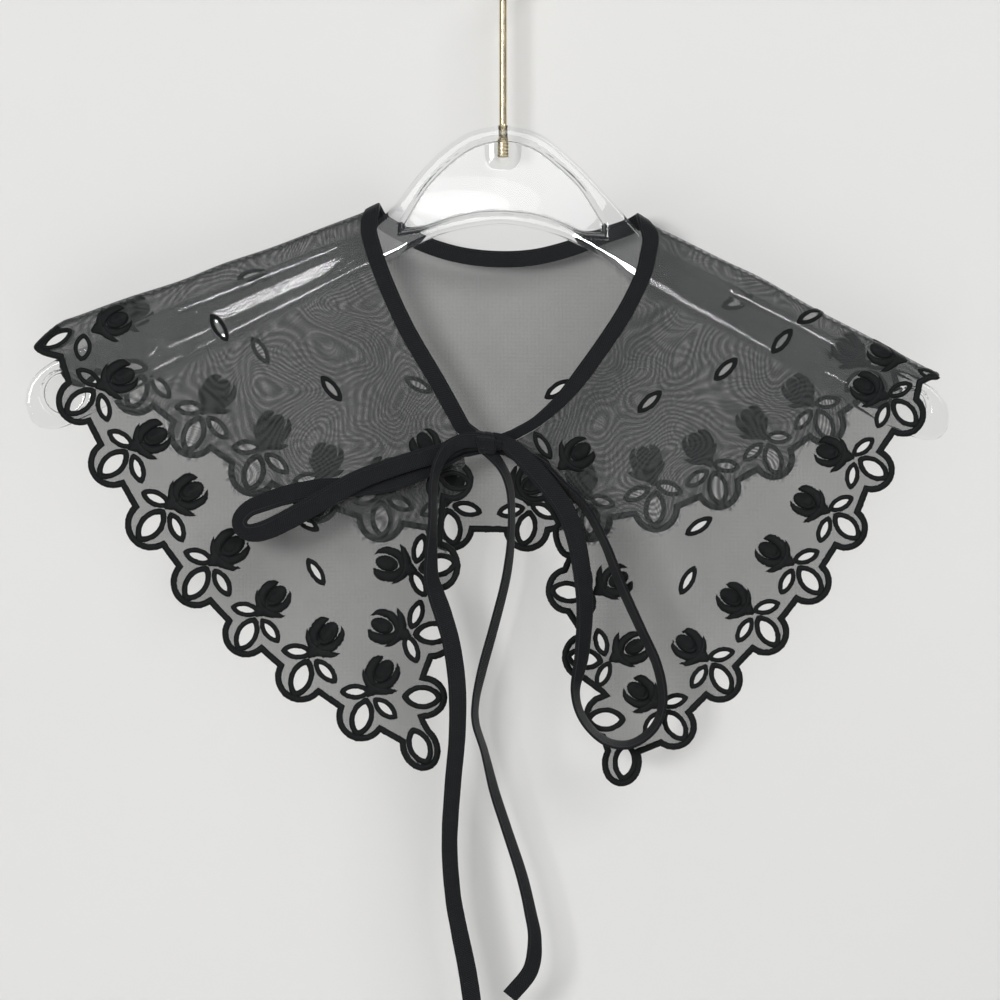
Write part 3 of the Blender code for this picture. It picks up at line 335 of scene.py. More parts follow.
def read_at(path, at):
    """The points of a path at some distances along it."""
    run = distances(path)
    return np.stack([np.interp(at, run, column) for column in path.T], 1)


def spaced(path, count):
    """The path as count points the same distance apart."""
    return read_at(path, np.linspace(0, distances(path)[-1], count))


def tangents(path):
    """Direction of the path at each point, from its neighbours on either side."""
    ends = np.vstack([path[:1], path, path[-1:]])
    return unit(ends[2:] - ends[:-2])


def smooth(points, step):
    """A Catmull-Rom curve through the points (rows of any width), sampled about every step along it."""
    points = np.asarray(points, float)
    padded = np.vstack([2 * points[0] - points[1], points, 2 * points[-1] - points[-2]])
    pieces = []
    for before, start, end, after in zip(padded, padded[1:], padded[2:], padded[3:]):
        count = max(1, round(float(np.linalg.norm((end - start)[:2])) / step))
        t = (np.arange(count) / count)[:, None]
        bend = (2 * before - 5 * start + 4 * end - after) * t**2
        twist = (3 * start - before - 3 * end + after) * t**3
        pieces.append(start + ((end - before) * t + bend + twist) / 2)
    return np.vstack(pieces + [points[-1:]])


SHOULDER_LINE = smooth(flat(SHOULDER), 4 * MM)


def shoulder_at(x):
    """Height of the shoulder line at x and its unit direction there."""
    reach = 5 * MM
    behind, z, ahead = (np.interp(x + shift, *SHOULDER_LINE.T) for shift in (-reach, 0, reach))
    rise = ahead - behind
    direction = np.stack([np.full_like(rise, 2 * reach), rise], axis=-1)
    return z, unit(direction)


def swell(x, drop, side):
    """How far a layer bellies away from the hanger: slow upright waves that grow below the arms."""
    grow = rounded_step(drop - SWELL_START, SWELL_SLOPE)
    return SWELL * grow * (1 + np.sin(2 * np.pi * x / SWELL_PITCH + SWELL_PHASE[side]))


def lobe_arc(lobe):
    """The round edge of a scallop, in the order that keeps the cloth on its left."""
    outward = compass(lobe.facing)
    angle = np.radians(np.linspace(-lobe.sweep, lobe.sweep, ARC_POINTS))[:, None]
    middle = np.array([lobe.x, lobe.z])
    return (middle + lobe.across * np.sin(angle) * quarter_turn(outward) + lobe.along * np.cos(angle) * outward) * MM


def hem_lobes(corners, cloth_on_left):
    """A scallop for each repeat of a hem whose corners run from the shoulder."""
    corners = np.array(corners)
    lobes = []
    for start, end in zip(corners, corners[1:]):
        run = end - start
        middle = start + run * LOBE_SHARE / 2
        half = float(np.linalg.norm(run)) * LOBE_SHARE / 2
        turn = -90 if cloth_on_left else 90
        facing = float(np.degrees(np.arctan2(run[1], run[0]))) + turn
        lobes.append(Lobe(middle[0], middle[1], facing, half, half, LOBE_SWEEP, "rose"))
    return lobes if cloth_on_left else lobes[::-1]


def inside(points, loop):
    """Even-odd test of points against one closed outline."""
    x, z = points[:, 0:1], points[:, 1:2]
    start, end = loop, np.roll(loop, -1, axis=0)
    crosses = (start[:, 1] > z) != (end[:, 1] > z)
    rise = np.where(end[:, 1] == start[:, 1], 1.0, end[:, 1] - start[:, 1])
    at = start[:, 0] + (z - start[:, 1]) / rise * (end[:, 0] - start[:, 0])
    return (np.sum(crosses & (x < at), axis=1) % 2).astype(bool)


def neck_stations(step=5 * MM):
    """Flat (x, z, inward x, inward z, side) stations of the binding, left knot end to right knot end."""
    neck_left, neck_right = flat([NECK_LEFT])[0], flat([NECK_RIGHT])[0]
    runs = (
        (np.vstack([flat(LEFT_NECK), neck_left]), FRONT),
        (np.vstack([neck_left, flat(BACK_NECK), neck_right]), BACK),
        (np.vstack([neck_right, flat(RIGHT_NECK)]), FRONT),
    )
    stations = []
    for control, side in runs:
        path = smooth(control, step)
        inward = quarter_turn(unit(np.gradient(path, axis=0))) * side
        _, shoulder = shoulder_at(path[:, 0])
        for neck, sign in ((neck_left, 1), (neck_right, -1)):
            near = np.clip(1 - np.linalg.norm(path - neck, axis=1) / NECK_EASE, 0, 1)[:, None]
            inward = inward * (1 - near) + sign * shoulder * near
        stations.append(np.hstack([path, unit(inward), np.full((len(path), 1), side)]))
    return stations


def neck_edge(stations):
    """Where the cloth stops inside the folded binding, on the flat drawing."""
    return stations[:, :2] - stations[:, 2:4] * (BINDING_WIDTH / 2 - 1.0 * MM)


def fold_line(start_x, end_x):
    """Points of the shoulder line every 3 mm from one x to another, ends left out."""
    count = max(2, round(abs(end_x - start_x) / (3 * MM)))
    x = np.linspace(start_x, end_x, count + 1)[1:-1]
    return np.stack([x, shoulder_at(x)[0]], 1)


def pocket_outline(start, end):
    """The sunk panel between two x places, a rim's width inside the hanger's edges."""
    x = np.linspace(start, end, max(6, round((end - start) / (9 * MM))))
    upper, lower = rim_heights(x)
    rim = HANGER_RIM if start < 0 < end else ARM_RIM
    upper = upper - rim * np.sqrt(1 + np.gradient(upper, x) ** 2)
    lower = lower + HANGER_RIM * np.sqrt(1 + np.gradient(lower, x) ** 2)
    ends = [0, -1]
    upper[ends], lower[ends] = 0.7 * upper[ends] + 0.3 * lower[ends], 0.7 * lower[ends] + 0.3 * upper[ends]
    return np.vstack([smooth(np.stack([x, lower], 1), 2 * MM), smooth(np.stack([x, upper], 1)[::-1], 2 * MM)])


def rim_heights(x):
    """The hanger's upper and lower edges at x."""
    top, under = flat(HANGER_TOP), flat(HANGER_UNDER)[::-1]
    return np.interp(x, top[:, 0], top[:, 1]), np.interp(x, under[:, 0], under[:, 1])


def hook_path():
    """Middle of the wire from the top of its thread up the shank and round the crook."""
    middle = CROOK_RADIUS - WIRE_RADIUS
    meet = np.radians(CROOK_MEET)
    bend = CROOK_RADIUS * np.cos(meet) / (1 - np.cos(meet))  # the shank's own bend into the crook
    foot = -(CROOK_RADIUS + bend) * np.sin(meet) - middle
    shank, crook = np.linspace(0, meet, 8)[:-1], np.linspace(-meet, np.radians(206), 22)
    return np.vstack(
        [
            [0, THREAD_TOP + 0.4 * MM],
            np.stack([bend * (1 - np.cos(shank)), foot + bend * np.sin(shank)], 1),
            np.stack([CROOK_RADIUS * np.cos(crook), CROOK_RADIUS * np.sin(crook) - middle], 1),
        ]
    )


# Soft creases pressed or hung into a panel: middle, the way it runs, half length, half width, height.
# Each wanders to its sides in slow waves
CREASE_WANDER, CREASE_WAVE = 1.5, 17
Crease = namedtuple("Crease", "x z turn length width height")
FRONT_CREASES = (
    Crease(-150, -262, -48, 60, 7, 0.5), Crease(-118, -236, -30, 44, 5, 0.45), Crease(-92, -310, -44, 40, 6, 0.5),
    Crease(-62, -262, -70, 34, 5, 0.35), Crease(120, -262, 52, 52, 7, 0.5), Crease(92, -240, 38, 40, 5, 0.4),
    Crease(84, -322, 58, 44, 6, 0.5), Crease(150, -222, 30, 34, 5, 0.4),
)
BACK_CREASES = (
    Crease(-4, -196, 3, 40, 3, 0.5), Crease(30, -218, 12, 34, 4, 0.4), Crease(-80, -240, -24, 60, 7, 0.6),
    Crease(92, -236, 26, 56, 7, 0.6),
)


def creases(x, z, side):
    """Height of the creases: each is a bell across its width times a bell along its length."""
    total = np.zeros_like(x)
    for crease in FRONT_CREASES if side == FRONT else BACK_CREASES:
        angle = np.radians(crease.turn)
        east, north = x / MM - crease.x, z / MM - crease.z
        along = east * np.cos(angle) + north * np.sin(angle)
        across = north * np.cos(angle) - east * np.sin(angle) + CREASE_WANDER * np.sin(along / CREASE_WAVE)
        total += crease.height * np.exp(-((across / crease.width) ** 2) - (along / crease.length) ** 2)
    return total * MM


def below_shoulder(points):
    """How far points of the flat drawing are below the shoulder line, square to it, and the way up there."""
    top, along = shoulder_at(points[:, 0])
    return (top - points[:, 1]) * along[:, 0], quarter_turn(along)


def drape(points, side, lift):
    """Carries points of the flat drawing onto a layer, lift above the cloth's inner face.

    Near the shoulder line the layer rolls over in a quarter of an ellipse. Below it hangs straight,
    bellied by slow upright waves and by its creases, which grow in below the hanger's arms.
    """
    x, z = points[:, 0], points[:, 1]
    drop, up = below_shoulder(points)
    drop = np.maximum(drop, 0)
    angle = np.arccos(np.clip(1 - drop / ROLL_DROP, 0, 1))
    hanging = np.maximum(drop - ROLL_DROP, 0)
    axis = points + up * (drop - ROLL_DROP)[:, None]
    place = axis + up * ((ROLL_RISE + lift) * np.cos(angle) - hanging)[:, None]
    fade = np.clip((drop - CREASE_START) / CREASE_SLOPE, 0, 1)
    belly = swell(x, drop, side) + creases(x, z, side) * fade
    y = side * (SEAM / 2 + (ROLL_REACH + lift) * np.sin(angle) + belly)
    return np.stack([place[:, 0], y, place[:, 1]], axis=-1)


def below_fold(points):
    """Points past the shoulder line brought back to it, where the cloth turns over."""
    drop, up = below_shoulder(points)
    return points + up * np.minimum(drop, 0)[:, None]


# Meshes: a shape is (points, faces, lie), and lie is where each point lies on its own strip or petal,
# across and along in metres, which the threads and ribs of the materials follow


def outward(points, faces):
    """The faces turned so that a closed shape holds a positive volume."""
    volume = 0
    for corners in ((0, 1, 2), (0, 2, 3))[: faces.shape[1] - 2]:
        a, b, c = (points[faces[:, k]] for k in corners)
        volume += np.sum(a * np.cross(b, c))
    return faces if volume > 0 else faces[:, ::-1]


def sweep(sections, across, along, closed=False):
    """A closed bar through equal rings of points (stations x sides x 3). An open one ends in points."""
    stations, sides = sections.shape[:2]
    lie = np.stack(np.broadcast_arrays(across, along[:, None]), -1)
    if not closed:
        ends = [np.repeat(sections[k].mean(axis=0)[None, None], sides, axis=1) for k in (0, -1)]
        sections = np.concatenate([ends[0], sections, ends[1]])
        lie = np.concatenate([lie[:1], lie, lie[-1:]])
        stations += 2
    start = np.arange(stations if closed else stations - 1)[:, None]
    side = np.arange(sides)[None]
    after, beside = (start + 1) % stations, (side + 1) % sides
    quads = np.stack([start * sides + side, start * sides + beside, after * sides + beside, after * sides + side], -1)
    points = sections.reshape(-1, 3)
    return points, outward(points, quads.reshape(-1, 4)), lie.reshape(-1, 2)


def joined(shapes):
    """Several shapes as one."""
    starts = np.cumsum([0] + [len(points) for points, _, _ in shapes])
    points = np.vstack([shape[0] for shape in shapes])
    faces = [face + first for (_, face, _), first in zip(shapes, starts)]
    return points, faces, np.vstack([shape[2] for shape in shapes])


def mesh_piece(name, shape, material, marks=None):
    """Puts points, faces and their lie into a mesh object that rides on the part's body."""
    points, faces, lie = shape
    lists = faces if isinstance(faces, list) else [faces]
    mesh = bpy.data.meshes.new(name)
    mesh.from_pydata(points.tolist(), [], [corners for block in lists for corners in block.tolist()])
    layer = mesh.uv_layers.new(name="lie")
    corner = np.empty(len(mesh.loops), int)
    mesh.loops.foreach_get("vertex_index", corner)
    layer.data.foreach_set("uv", lie[corner].astype(np.float32).ravel())
    for mark, values in (marks or {}).items():
        attribute = mesh.attributes.new(mark, "FLOAT", "POINT")
        attribute.data.foreach_set("value", values.astype(np.float32))
    mesh.polygons.foreach_set("use_smooth", np.ones(len(mesh.polygons), bool))
    mesh.materials.append(material)
    mesh.validate(verbose=False)
    piece = bpy.data.objects.new(name, mesh)
    bpy.context.scene.collection.objects.link(piece)
    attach(piece, "root")
    return piece


def closed_piece(name, shape, material):
    """A mesh piece with the points that close its ends and poles merged."""
    piece = mesh_piece(name, shape, material)
    weld = piece.modifiers.new("Closed ends", "WELD")
    weld.merge_threshold = WELD_REACH
    return piece


def ragged(count, seed, size, smoothness=2):
    """Small repeatable unevenness along a path, as thread ends give an edge."""
    noise = np.random.default_rng(seed).normal(size=count + 4 * smoothness)
    kernel = np.ones(smoothness) / smoothness
    return size * np.convolve(noise, kernel, "same")[:count] * np.sqrt(smoothness)


# Organza panels


def pointed_oval(middle, turn, length, width, count, power=HOLE_POWER):
    """Two tips joined by bowed sides: half the width times (1 - t squared) to a power."""
    t = -np.cos(np.linspace(0, np.pi, count // 2 + 1))
    bow = width / 2 * (1 - t**2) ** power
    loop = np.vstack([np.stack([t * length / 2, bow], 1), np.stack([t * length / 2, -bow], 1)[-2:0:-1]])
    way = compass(turn)
    return np.asarray(middle) + loop @ np.array([way, quarter_turn(way)])


# An eyelet of a panel: middle, the way it runs, its hole, and its satin ring at the sides and the tips
Cutout = namedtuple("Cutout", "middle turn length width ring tip")
# A rose of a panel: middle, the way its stem comes in, how it is mirrored, its size and its heart's
Bloom = namedtuple("Bloom", "middle axis handed size heart")


def motif(lobe, handed, shift):
    """The eyelets and the rose that fill a scallop, shifted along the hem."""
    if lobe.filling == "plain":
        return [], []
    lone, loose = lobe.filling == "lone eyelet", lobe.filling == "open rose"
    outward_way = compass(lobe.facing)
    onward = quarter_turn(outward_way) * handed
    size = 1.0 if lone else lobe.across * 2 / LOBE_SHARE / HEM_REPEAT
    size = min(max(size, SMALLEST_MOTIF), LARGEST_MOTIF)
    middle = np.array([lobe.x, lobe.z])

    def spot(along, inward):
        return (middle + size * ((along + shift) * onward - inward * outward_way)) * MM

    cutouts = []
    for eye in (LONE_EYELET,) if lone else (BIG_EYELET, *SIDE_EYELETS):
        turn = np.degrees(np.arctan2(onward[1], onward[0])) - handed * eye.turn
        cutouts.append(Cutout(spot(eye.along, eye.inward), turn, *(np.array(eye[3:]) * size * MM)))
    blooms = []
    if "rose" in lobe.filling:
        place = ROSES[handed]
        rose = spot(place.along + OPEN_ROSE_SHIFT[handed] * loose, place.inward)
        hub = spot(place.hub_along, place.hub_inward)
        blooms.append(Bloom(rose, unit(rose - hub), handed, size, OPEN_ROSE_HEART if loose else ROSE_HEART))
    return cutouts, blooms


def fillings(lobes, handed, loose=(), shift=0.0, lone=(), tip=()):
    """Cutouts and blooms of a panel, from its scallops, its sprinkled eyelets and what stands alone."""
    cutouts = []
    for x, z, turn, *sizes in [(*eye, *SPRINKLED_SIZES) for eye in loose] + [*tip]:
        cutouts.append(Cutout(np.array([x, z]) * MM, turn, *(np.array(sizes) * MM)))
    blooms = [Bloom(np.array([x, z]) * MM, compass(way), handed, *LONE_ROSE_SIZES) for x, z, way in lone]
    for lobe in lobes:
        lobe_cutouts, lobe_blooms = motif(lobe, handed, shift)
        cutouts += lobe_cutouts
        blooms += lobe_blooms
    return cutouts, blooms


# A panel of the collar: its cut edge, the stitched part of that edge, its eyelets and its roses
Panel = namedtuple("Panel", "outline border cutouts blooms side")


def left_front(neck):
    """The left front: shoulder tip, hem and front edge, then the neck's edge and the fold back to the tip."""
    lobes = [*hem_lobes(LEFT_HEM, cloth_on_left=True), *LEFT_FRONT_EDGE]
    edge, tip = neck_edge(neck), smooth(flat(LEFT_TIP_CORNER), 1 * MM)
    border = np.vstack([tip, *[lobe_arc(lobe) for lobe in lobes]])
    outline = np.vstack([border, edge, fold_line(edge[-1, 0], tip[0, 0])])
    filled = fillings(lobes, 1, LEFT_SPRINKLED, 0.0, LEFT_LONE, (TIP_EYELET, TIP_RING))
    return Panel(outline, border, *filled, FRONT)


def right_front(neck):
    """The right front: the neck's edge, front edge, hem and shoulder tip, then the fold back to the neck."""
    lobes = [*RIGHT_FRONT_EDGE, *hem_lobes(RIGHT_HEM, cloth_on_left=False)]
    edge, tip = neck_edge(neck), smooth(flat(RIGHT_TIP_CORNER), 1 * MM)
    border = np.vstack([*[lobe_arc(lobe) for lobe in lobes], tip])
    outline = np.vstack([edge, border, fold_line(tip[-1, 0], edge[0, 0])])
    filled = fillings(lobes, -1, RIGHT_SPRINKLED, -1.3, RIGHT_LONE, (TIP_SLIT,))
    return Panel(outline, border, *filled, FRONT)


def back(neck):
    """The back: its hem from tip to tip, then the fold and the neck's edge back to the left tip."""
    left = hem_lobes(BACK_LEFT_HEM, cloth_on_left=True)
    right = hem_lobes(BACK_RIGHT_HEM, cloth_on_left=False)
    edge = neck_edge(neck)[::-1]
    tips = [smooth(flat(corner), 1 * MM) for corner in (LEFT_TIP_CORNER, RIGHT_TIP_CORNER)]
    border = np.vstack([tips[0], *[lobe_arc(lobe) for lobe in [*left, *right]], tips[1]])
    folds = fold_line(tips[1][-1, 0], edge[0, 0]), fold_line(edge[-1, 0], tips[0][0, 0])
    outline = np.vstack([border, folds[0], edge, folds[1]])
    left[0], left[1] = left[0]._replace(filling="plain"), left[1]._replace(filling="eyelets")
    left_filled = fillings(left, 1, BACK_SPRINKLED, 0.0, BACK_LONE, (TIP_EYELET,))
    cutouts, blooms = (one + other for one, other in zip(left_filled, fillings(right, -1)))
    return Panel(outline, border, cutouts, blooms, BACK)


def far_from(points, loop, near):
    """Which points keep a distance from an outline, worked out a few hundred edges at a time."""
    clear = np.ones(len(points), bool)
    start, end = loop, np.roll(loop, -1, axis=0)
    for first in range(0, len(loop), 200):
        a, run = start[first : first + 200], (end - start)[first : first + 200]
        share = np.sum((points[:, None] - a) * run, axis=2) / np.maximum(np.sum(run**2, axis=1), 1e-18)
        nearest = a + np.clip(share, 0, 1)[..., None] * run
        clear &= np.min(np.linalg.norm(points[:, None] - nearest, axis=2), axis=1) > near
    return clear


def cut_cloth(name, panel, pitch):
    """Triangles of a panel's cut: its outline, its holes and rows of points between them."""
    holes = [pointed_oval(c.middle, c.turn, c.length, c.width, HOLE_POINTS) for c in panel.cutouts]
    outline = panel.outline
    low, high = outline.min(axis=0), outline.max(axis=0)
    rows = []
    for row, z in enumerate(np.arange(low[1] + pitch / 2, high[1], pitch * 0.87)):
        xs = np.arange(low[0] + pitch / 2 * (row % 2), high[0], pitch)
        rows.append(np.stack([xs, np.full_like(xs, z)], 1))
    count = sum(len(row) for row in rows)
    rows += [SHOULDER_LINE - [0, down * ROLL_DROP] for down in (0.04, 0.12, 0.25, 0.45, 0.7, 1.0, 1.4)]
    points = np.vstack(rows)
    rolled = below_shoulder(points)[0] < 1.7 * ROLL_DROP
    keep = inside(points, outline)
    keep[:count] &= ~rolled[:count]
    points = points[keep]
    grid = (np.arange(len(keep)) < count)[keep]
    keep = far_from(points, outline, 0.12 * MM)
    keep[grid] &= far_from(points[grid], outline, 0.35 * pitch)
    points = points[keep]
    for hole in holes:
        points = points[~inside(points, hole) & far_from(points, hole, 0.3 * pitch)]
    loops = [outline, *holes]
    drawn = np.vstack([*loops, points])
    edges, first = [], 0
    for loop in loops:
        index = np.arange(first, first + len(loop))
        edges += list(zip(index.tolist(), np.roll(index, -1).tolist()))
        first += len(loop)
    verts, _, faces, *_ = delaunay_2d_cdt((drawn / MM).tolist(), edges, [], 1, 1e-5)
    if len(verts) != len(drawn):
        raise ValueError(f"{name}: outlines in the cut meet ({len(verts)} points from {len(drawn)})")
    faces = np.array(faces)
    middles = drawn[faces].mean(axis=1)
    keep = inside(middles, outline)
    for hole in holes:
        keep &= ~inside(middles, hole)
    return drawn, faces[keep]


def cloth_shape(drawn, faces, side, wall):
    """The cut as a closed thin wall, its two faces a wall apart round the middle of the solid's wall."""
    middle = np.full(len(drawn), CLOTH_LIFT)
    outer, inner = drape(drawn, side, middle + wall / 2), drape(drawn, side, middle - wall / 2)
    directed = np.vstack([faces[:, [0, 1]], faces[:, [1, 2]], faces[:, [2, 0]]])
    order = np.sort(directed, axis=1)
    _, inverse, counts = np.unique(order, axis=0, return_inverse=True, return_counts=True)
    rim = directed[counts[inverse.ravel()] == 1]
    count = len(drawn)
    walls = np.stack([rim[:, 1], rim[:, 0], rim[:, 0] + count, rim[:, 1] + count], 1)
    skins = np.vstack([faces, faces[:, ::-1] + count])
    points = np.vstack([outer, inner])
    if outward(points, skins) is not skins:
        skins, walls = skins[:, ::-1], walls[:, ::-1]
    return points, [skins, walls], np.vstack([drawn, drawn])


# Satin stitch


def satin_band(inner, outer, side, closed, seed, thick=SATIN_HEIGHT, sides=10):
    """A padded band between two paths: an oval section carried along, raised on both faces."""
    width = np.linalg.norm(outer - inner, axis=1)
    along = distances((inner + outer) / 2)
    angle = round_angles(sides)
    share = (1 + np.cos(angle)) / 2
    way = unit(outer - inner)
    rough = ragged(len(inner), seed, 0.08 * MM, 1)[:, None] * way
    inner, outer = inner - rough, outer + ragged(len(inner), seed + 1, 0.09 * MM, 1)[:, None] * way
    drawn = inner[:, None] + (outer - inner)[:, None] * share[:, None]
    lift = STITCH_LIFT + thick * np.sin(angle) * (1 + ragged(len(inner), seed + 2, 0.03))[:, None]
    points = drape(below_fold(drawn.reshape(-1, 2)), side, lift.ravel()).reshape(len(inner), sides, 3)
    return sweep(points, (share - 0.5) * float(width.mean()), along, closed)


def filled_in(path, step):
    """The path with its own corners kept and points put in every step between them."""
    run = distances(path)
    extra = np.arange(0, run[-1], step)
    at = np.sort(np.concatenate([run, extra[np.abs(extra[:, None] - run).min(axis=1) > 0.3 * step]]))
    return read_at(path, at[np.concatenate([[True], np.diff(at) > 0.02 * step])])


def mitres(path, cap=1.5):
    """The way square to the path at each point, longer at a corner by 1 over the cosine of half its turn."""
    way = unit(np.diff(path, axis=0))
    before, after = np.vstack([way[:1], way]), np.vstack([way, way[-1:]])
    bisector = unit(before + after)
    stretch = 1 / np.maximum(np.sum(bisector * after, axis=1, keepdims=True), 1 / cap)
    return quarter_turn(bisector) * stretch


def border_band(border, side, width, seed):
    """The band along a hem: the cut edge and the same edge moved into the cloth, its corners mitred."""
    path = filled_in(border, 0.6 * MM)
    return satin_band(path + mitres(path) * width, path, side, False, seed)


def ring_band(cutout, side, seed):
    """The ring round an eyelet: between its hole and a larger pointed oval."""
    inner = pointed_oval(cutout.middle, cutout.turn, cutout.length, cutout.width, RING_POINTS)
    length, width = cutout.length + 2 * cutout.tip, cutout.width + 2 * cutout.ring
    outer = pointed_oval(cutout.middle, cutout.turn, length, width, RING_POINTS, RING_POWER)
    return satin_band(inner, outer, side, True, seed)


# The pads of a rose round its heart, each between two edges from one end to the other: (up the stem,
# across) from the rose's middle, in millimetres, and how high the pad stands
Pad = namedtuple("Pad", "one other height")
ROSE_PADS = (
    Pad(  # stem
        ((-12.9, -0.9), (-11.8, -1.5), (-10.2, -2.7), (-8.4, -3.2), (-6.6, -1.5)),
        ((-12.9, 0.9), (-11.8, 1.6), (-10.2, 2.9), (-8.4, 3.6), (-6.6, 1.8)),
        1.2,
    ),
    Pad(  # calyx, from one sepal's tip to the other's
        (
            (-2.9, -8.7), (-5.6, -7.4), (-8.0, -4.9), (-9.7, -1.8), (-10.3, 1.0),
            (-9.2, 4.2), (-7.3, 7.0), (-4.9, 9.3), (-2.0, 10.3),
        ),
        (
            (-2.9, -8.7), (-3.6, -7.0), (-4.4, -3.9), (-4.8, -1.0), (-4.8, 1.6),
            (-4.2, 4.0), (-3.7, 6.3), (-2.9, 8.3), (-2.0, 10.3),
        ),
        1.2,
    ),
    Pad(  # petal that wraps over the top of the heart
        ((-7.2, -0.2), (-6.8, -4.2), (-4.2, -7.1), (-1.0, -8.1), (1.8, -8.3), (4.3, -7.7), (6.0, -6.2), (7.0, -3.7)),
        ((-5.0, 1.0), (-4.0, -1.0), (-2.2, -2.4), (0.6, -3.3), (3.0, -3.6), (4.8, -3.55), (6.0, -3.4), (7.0, -3.7)),
        1.5,
    ),
    Pad(  # petal on the other side
        ((-7.2, -0.2), (-6.4, 4.4), (-3.4, 7.1), (0.4, 7.9), (3.5, 7.6), (5.8, 6.4), (7.3, 4.6), (8.0, 2.4)),
        ((-5.0, -1.0), (-4.0, 1.2), (-2.2, 2.9), (0.8, 4.0), (3.0, 4.15), (5.0, 3.9), (6.6, 3.3), (8.0, 2.4)),
        1.4,
    ),
)
ROSE_CORE = (1.4, 0.1, 6.2, 4.1)  # middle of the rolled heart, its half length and half width


def rose_pad(pad, bloom, side, seed, stations=26, sides=12):
    """A padded leaf between two smooth edges: half ovals on both faces, lower where it is narrow."""
    one, other = (spaced(smooth(np.array(edge) * MM, 0.4 * MM), stations) for edge in (pad.one, pad.other))
    across = other - one
    width = np.linalg.norm(across, axis=1)
    rough = ragged(stations, seed, 0.17 * MM, 1) * np.linspace(0.3, 1, stations) * (width > 0.4 * MM)
    one = one - unit(across) * rough[:, None]
    angle = round_angles(sides)
    share = (1 + np.cos(angle)) / 2
    local = one[:, None] + across[:, None] * share[:, None]
    full = np.clip(width / (3 * MM), 0.02, 1) ** 0.5
    section = np.where(np.sin(angle) > 0, pad.height * np.sin(angle), 0.42 * np.sin(angle)) * MM
    lift = STITCH_LIFT + np.outer(full, section)
    along = np.linspace(0, distances(one)[-1], stations)
    points, faces, lie = sweep(bloom_place(local, lift, bloom, side), share * float(width.mean()), along)
    return points, faces, lie[:, ::-1]


def bloom_place(local, lift, bloom, side):
    """Carries a rose's own frame (up the stem, across) onto its panel, pressed flatter near the fold."""
    right = np.array([bloom.axis[1], -bloom.axis[0]]) * bloom.handed
    drawn = (bloom.middle + bloom.size * (local[..., :1] * bloom.axis + local[..., 1:] * right)).reshape(-1, 2)
    flatter = np.clip(0.25 + below_shoulder(drawn)[0] / (9 * MM), 0.25, 1)
    lift = STITCH_LIFT + (lift.ravel() - STITCH_LIFT) * flatter
    return drape(below_fold(drawn), side, lift).reshape(*local.shape[:2], 3)


def heart_pad(bloom, side, rings=13, sides=40):
    """The rolled heart of a rose: an oval dome with a jagged rim and a groove that winds to its middle."""
    a, b, long, wide = ROSE_CORE[0], ROSE_CORE[1], ROSE_CORE[2] * bloom.heart, ROSE_CORE[3] * bloom.heart
    share = np.sin(np.linspace(0.06, 1, rings) * np.pi / 2)
    angle = round_angles(sides)
    r, t = np.meshgrid(share, angle, indexing="ij")
    jag = 1 + 0.03 * np.cos(t * sides / 2) * (r > 0.9) * (np.cos(t) > 0.2)
    local = np.stack([a + long * jag * r * np.cos(t), b + wide * jag * r * np.sin(t)], -1) * MM
    spiral = np.cos((t - 5.2 * r + 0.7) / 2) ** 24 * np.clip(r * 1.8 - 0.3, 0, 1) * (1 - r**8)
    dome = STITCH_LIFT + (1.75 * np.sqrt(np.maximum(1 - r**2.4, 0)) - 0.5 * spiral) * MM
    under = STITCH_LIFT - 0.42 * MM * np.sqrt(np.maximum(1 - r**2, 0))
    local = np.concatenate([local, local[-2::-1]])
    lift = np.concatenate([dome, under[-2::-1]])
    place = bloom_place(local, lift, bloom, side)
    return sweep(place, wide * MM * np.sin(angle), np.concatenate([share, share[-2::-1]]) * long * MM)


def embroidery(name, panel, width, material):
    """All the stitching of a panel as one piece."""
    shapes = [border_band(panel.border, panel.side, width, 11)]
    for k, cutout in enumerate(panel.cutouts):
        shapes.append(ring_band(cutout, panel.side, 100 + 3 * k))
    for k, bloom in enumerate(panel.blooms):
        shapes += [rose_pad(pad, bloom, panel.side, 500 + 10 * k) for pad in ROSE_PADS]
        shapes.append(heart_pad(bloom, panel.side))
    return closed_piece(name, joined(shapes), material)


# Ribbon


def strap_section(sides=16, crown=0.16):
    """A flat strap's section, across and thick from -1 to 1: a rounded box, slightly crowned."""
    angle = (np.arange(sides) + 0.5) * 2 * np.pi / sides
    across = np.sign(np.cos(angle)) * np.abs(np.cos(angle)) ** 0.35
    thick = np.sign(np.sin(angle)) * np.abs(np.sin(angle)) ** 0.5
    return across, thick * (1 - crown * across**2)


def ribbon_shape(rows, wall, step=1.2 * MM, seed=5):
    """A flat strip along a path, turned about its own axis as its rows say, and its middle line."""
    table = [(x * MM, z * MM, front * MM, width * MM, np.radians(turn)) for x, z, front, width, turn in rows]
    table = smooth(np.array(table), step)
    path = np.stack([table[:, 0], -table[:, 2], table[:, 1]], 1)
    along = tangents(path)
    facing = unit(np.array([0.0, -1.0, 0.0]) + along * along[:, 1:2])
    over = np.cross(along, facing)
    turn = table[:, 4:5]
    wide = (over * np.cos(turn) + facing * np.sin(turn)) * table[:, 3:4] / 2
    thick = (facing * np.cos(turn) - over * np.sin(turn)) * wall / 2
    across, up = strap_section()
    wide = wide * (1 + ragged(len(path), seed, 0.006, 6))[:, None]
    sections = path[:, None] + wide[:, None] * across[:, None] + thick[:, None] * up[:, None]
    return sweep(sections, across * float(table[:, 3].mean()) / 2, distances(path)), path


BINDING_ENDS = ((-11.0, -246.8, 11.6), (-3.4, -247.8, 11.2))  # x, z, front: where the strip enters the knot


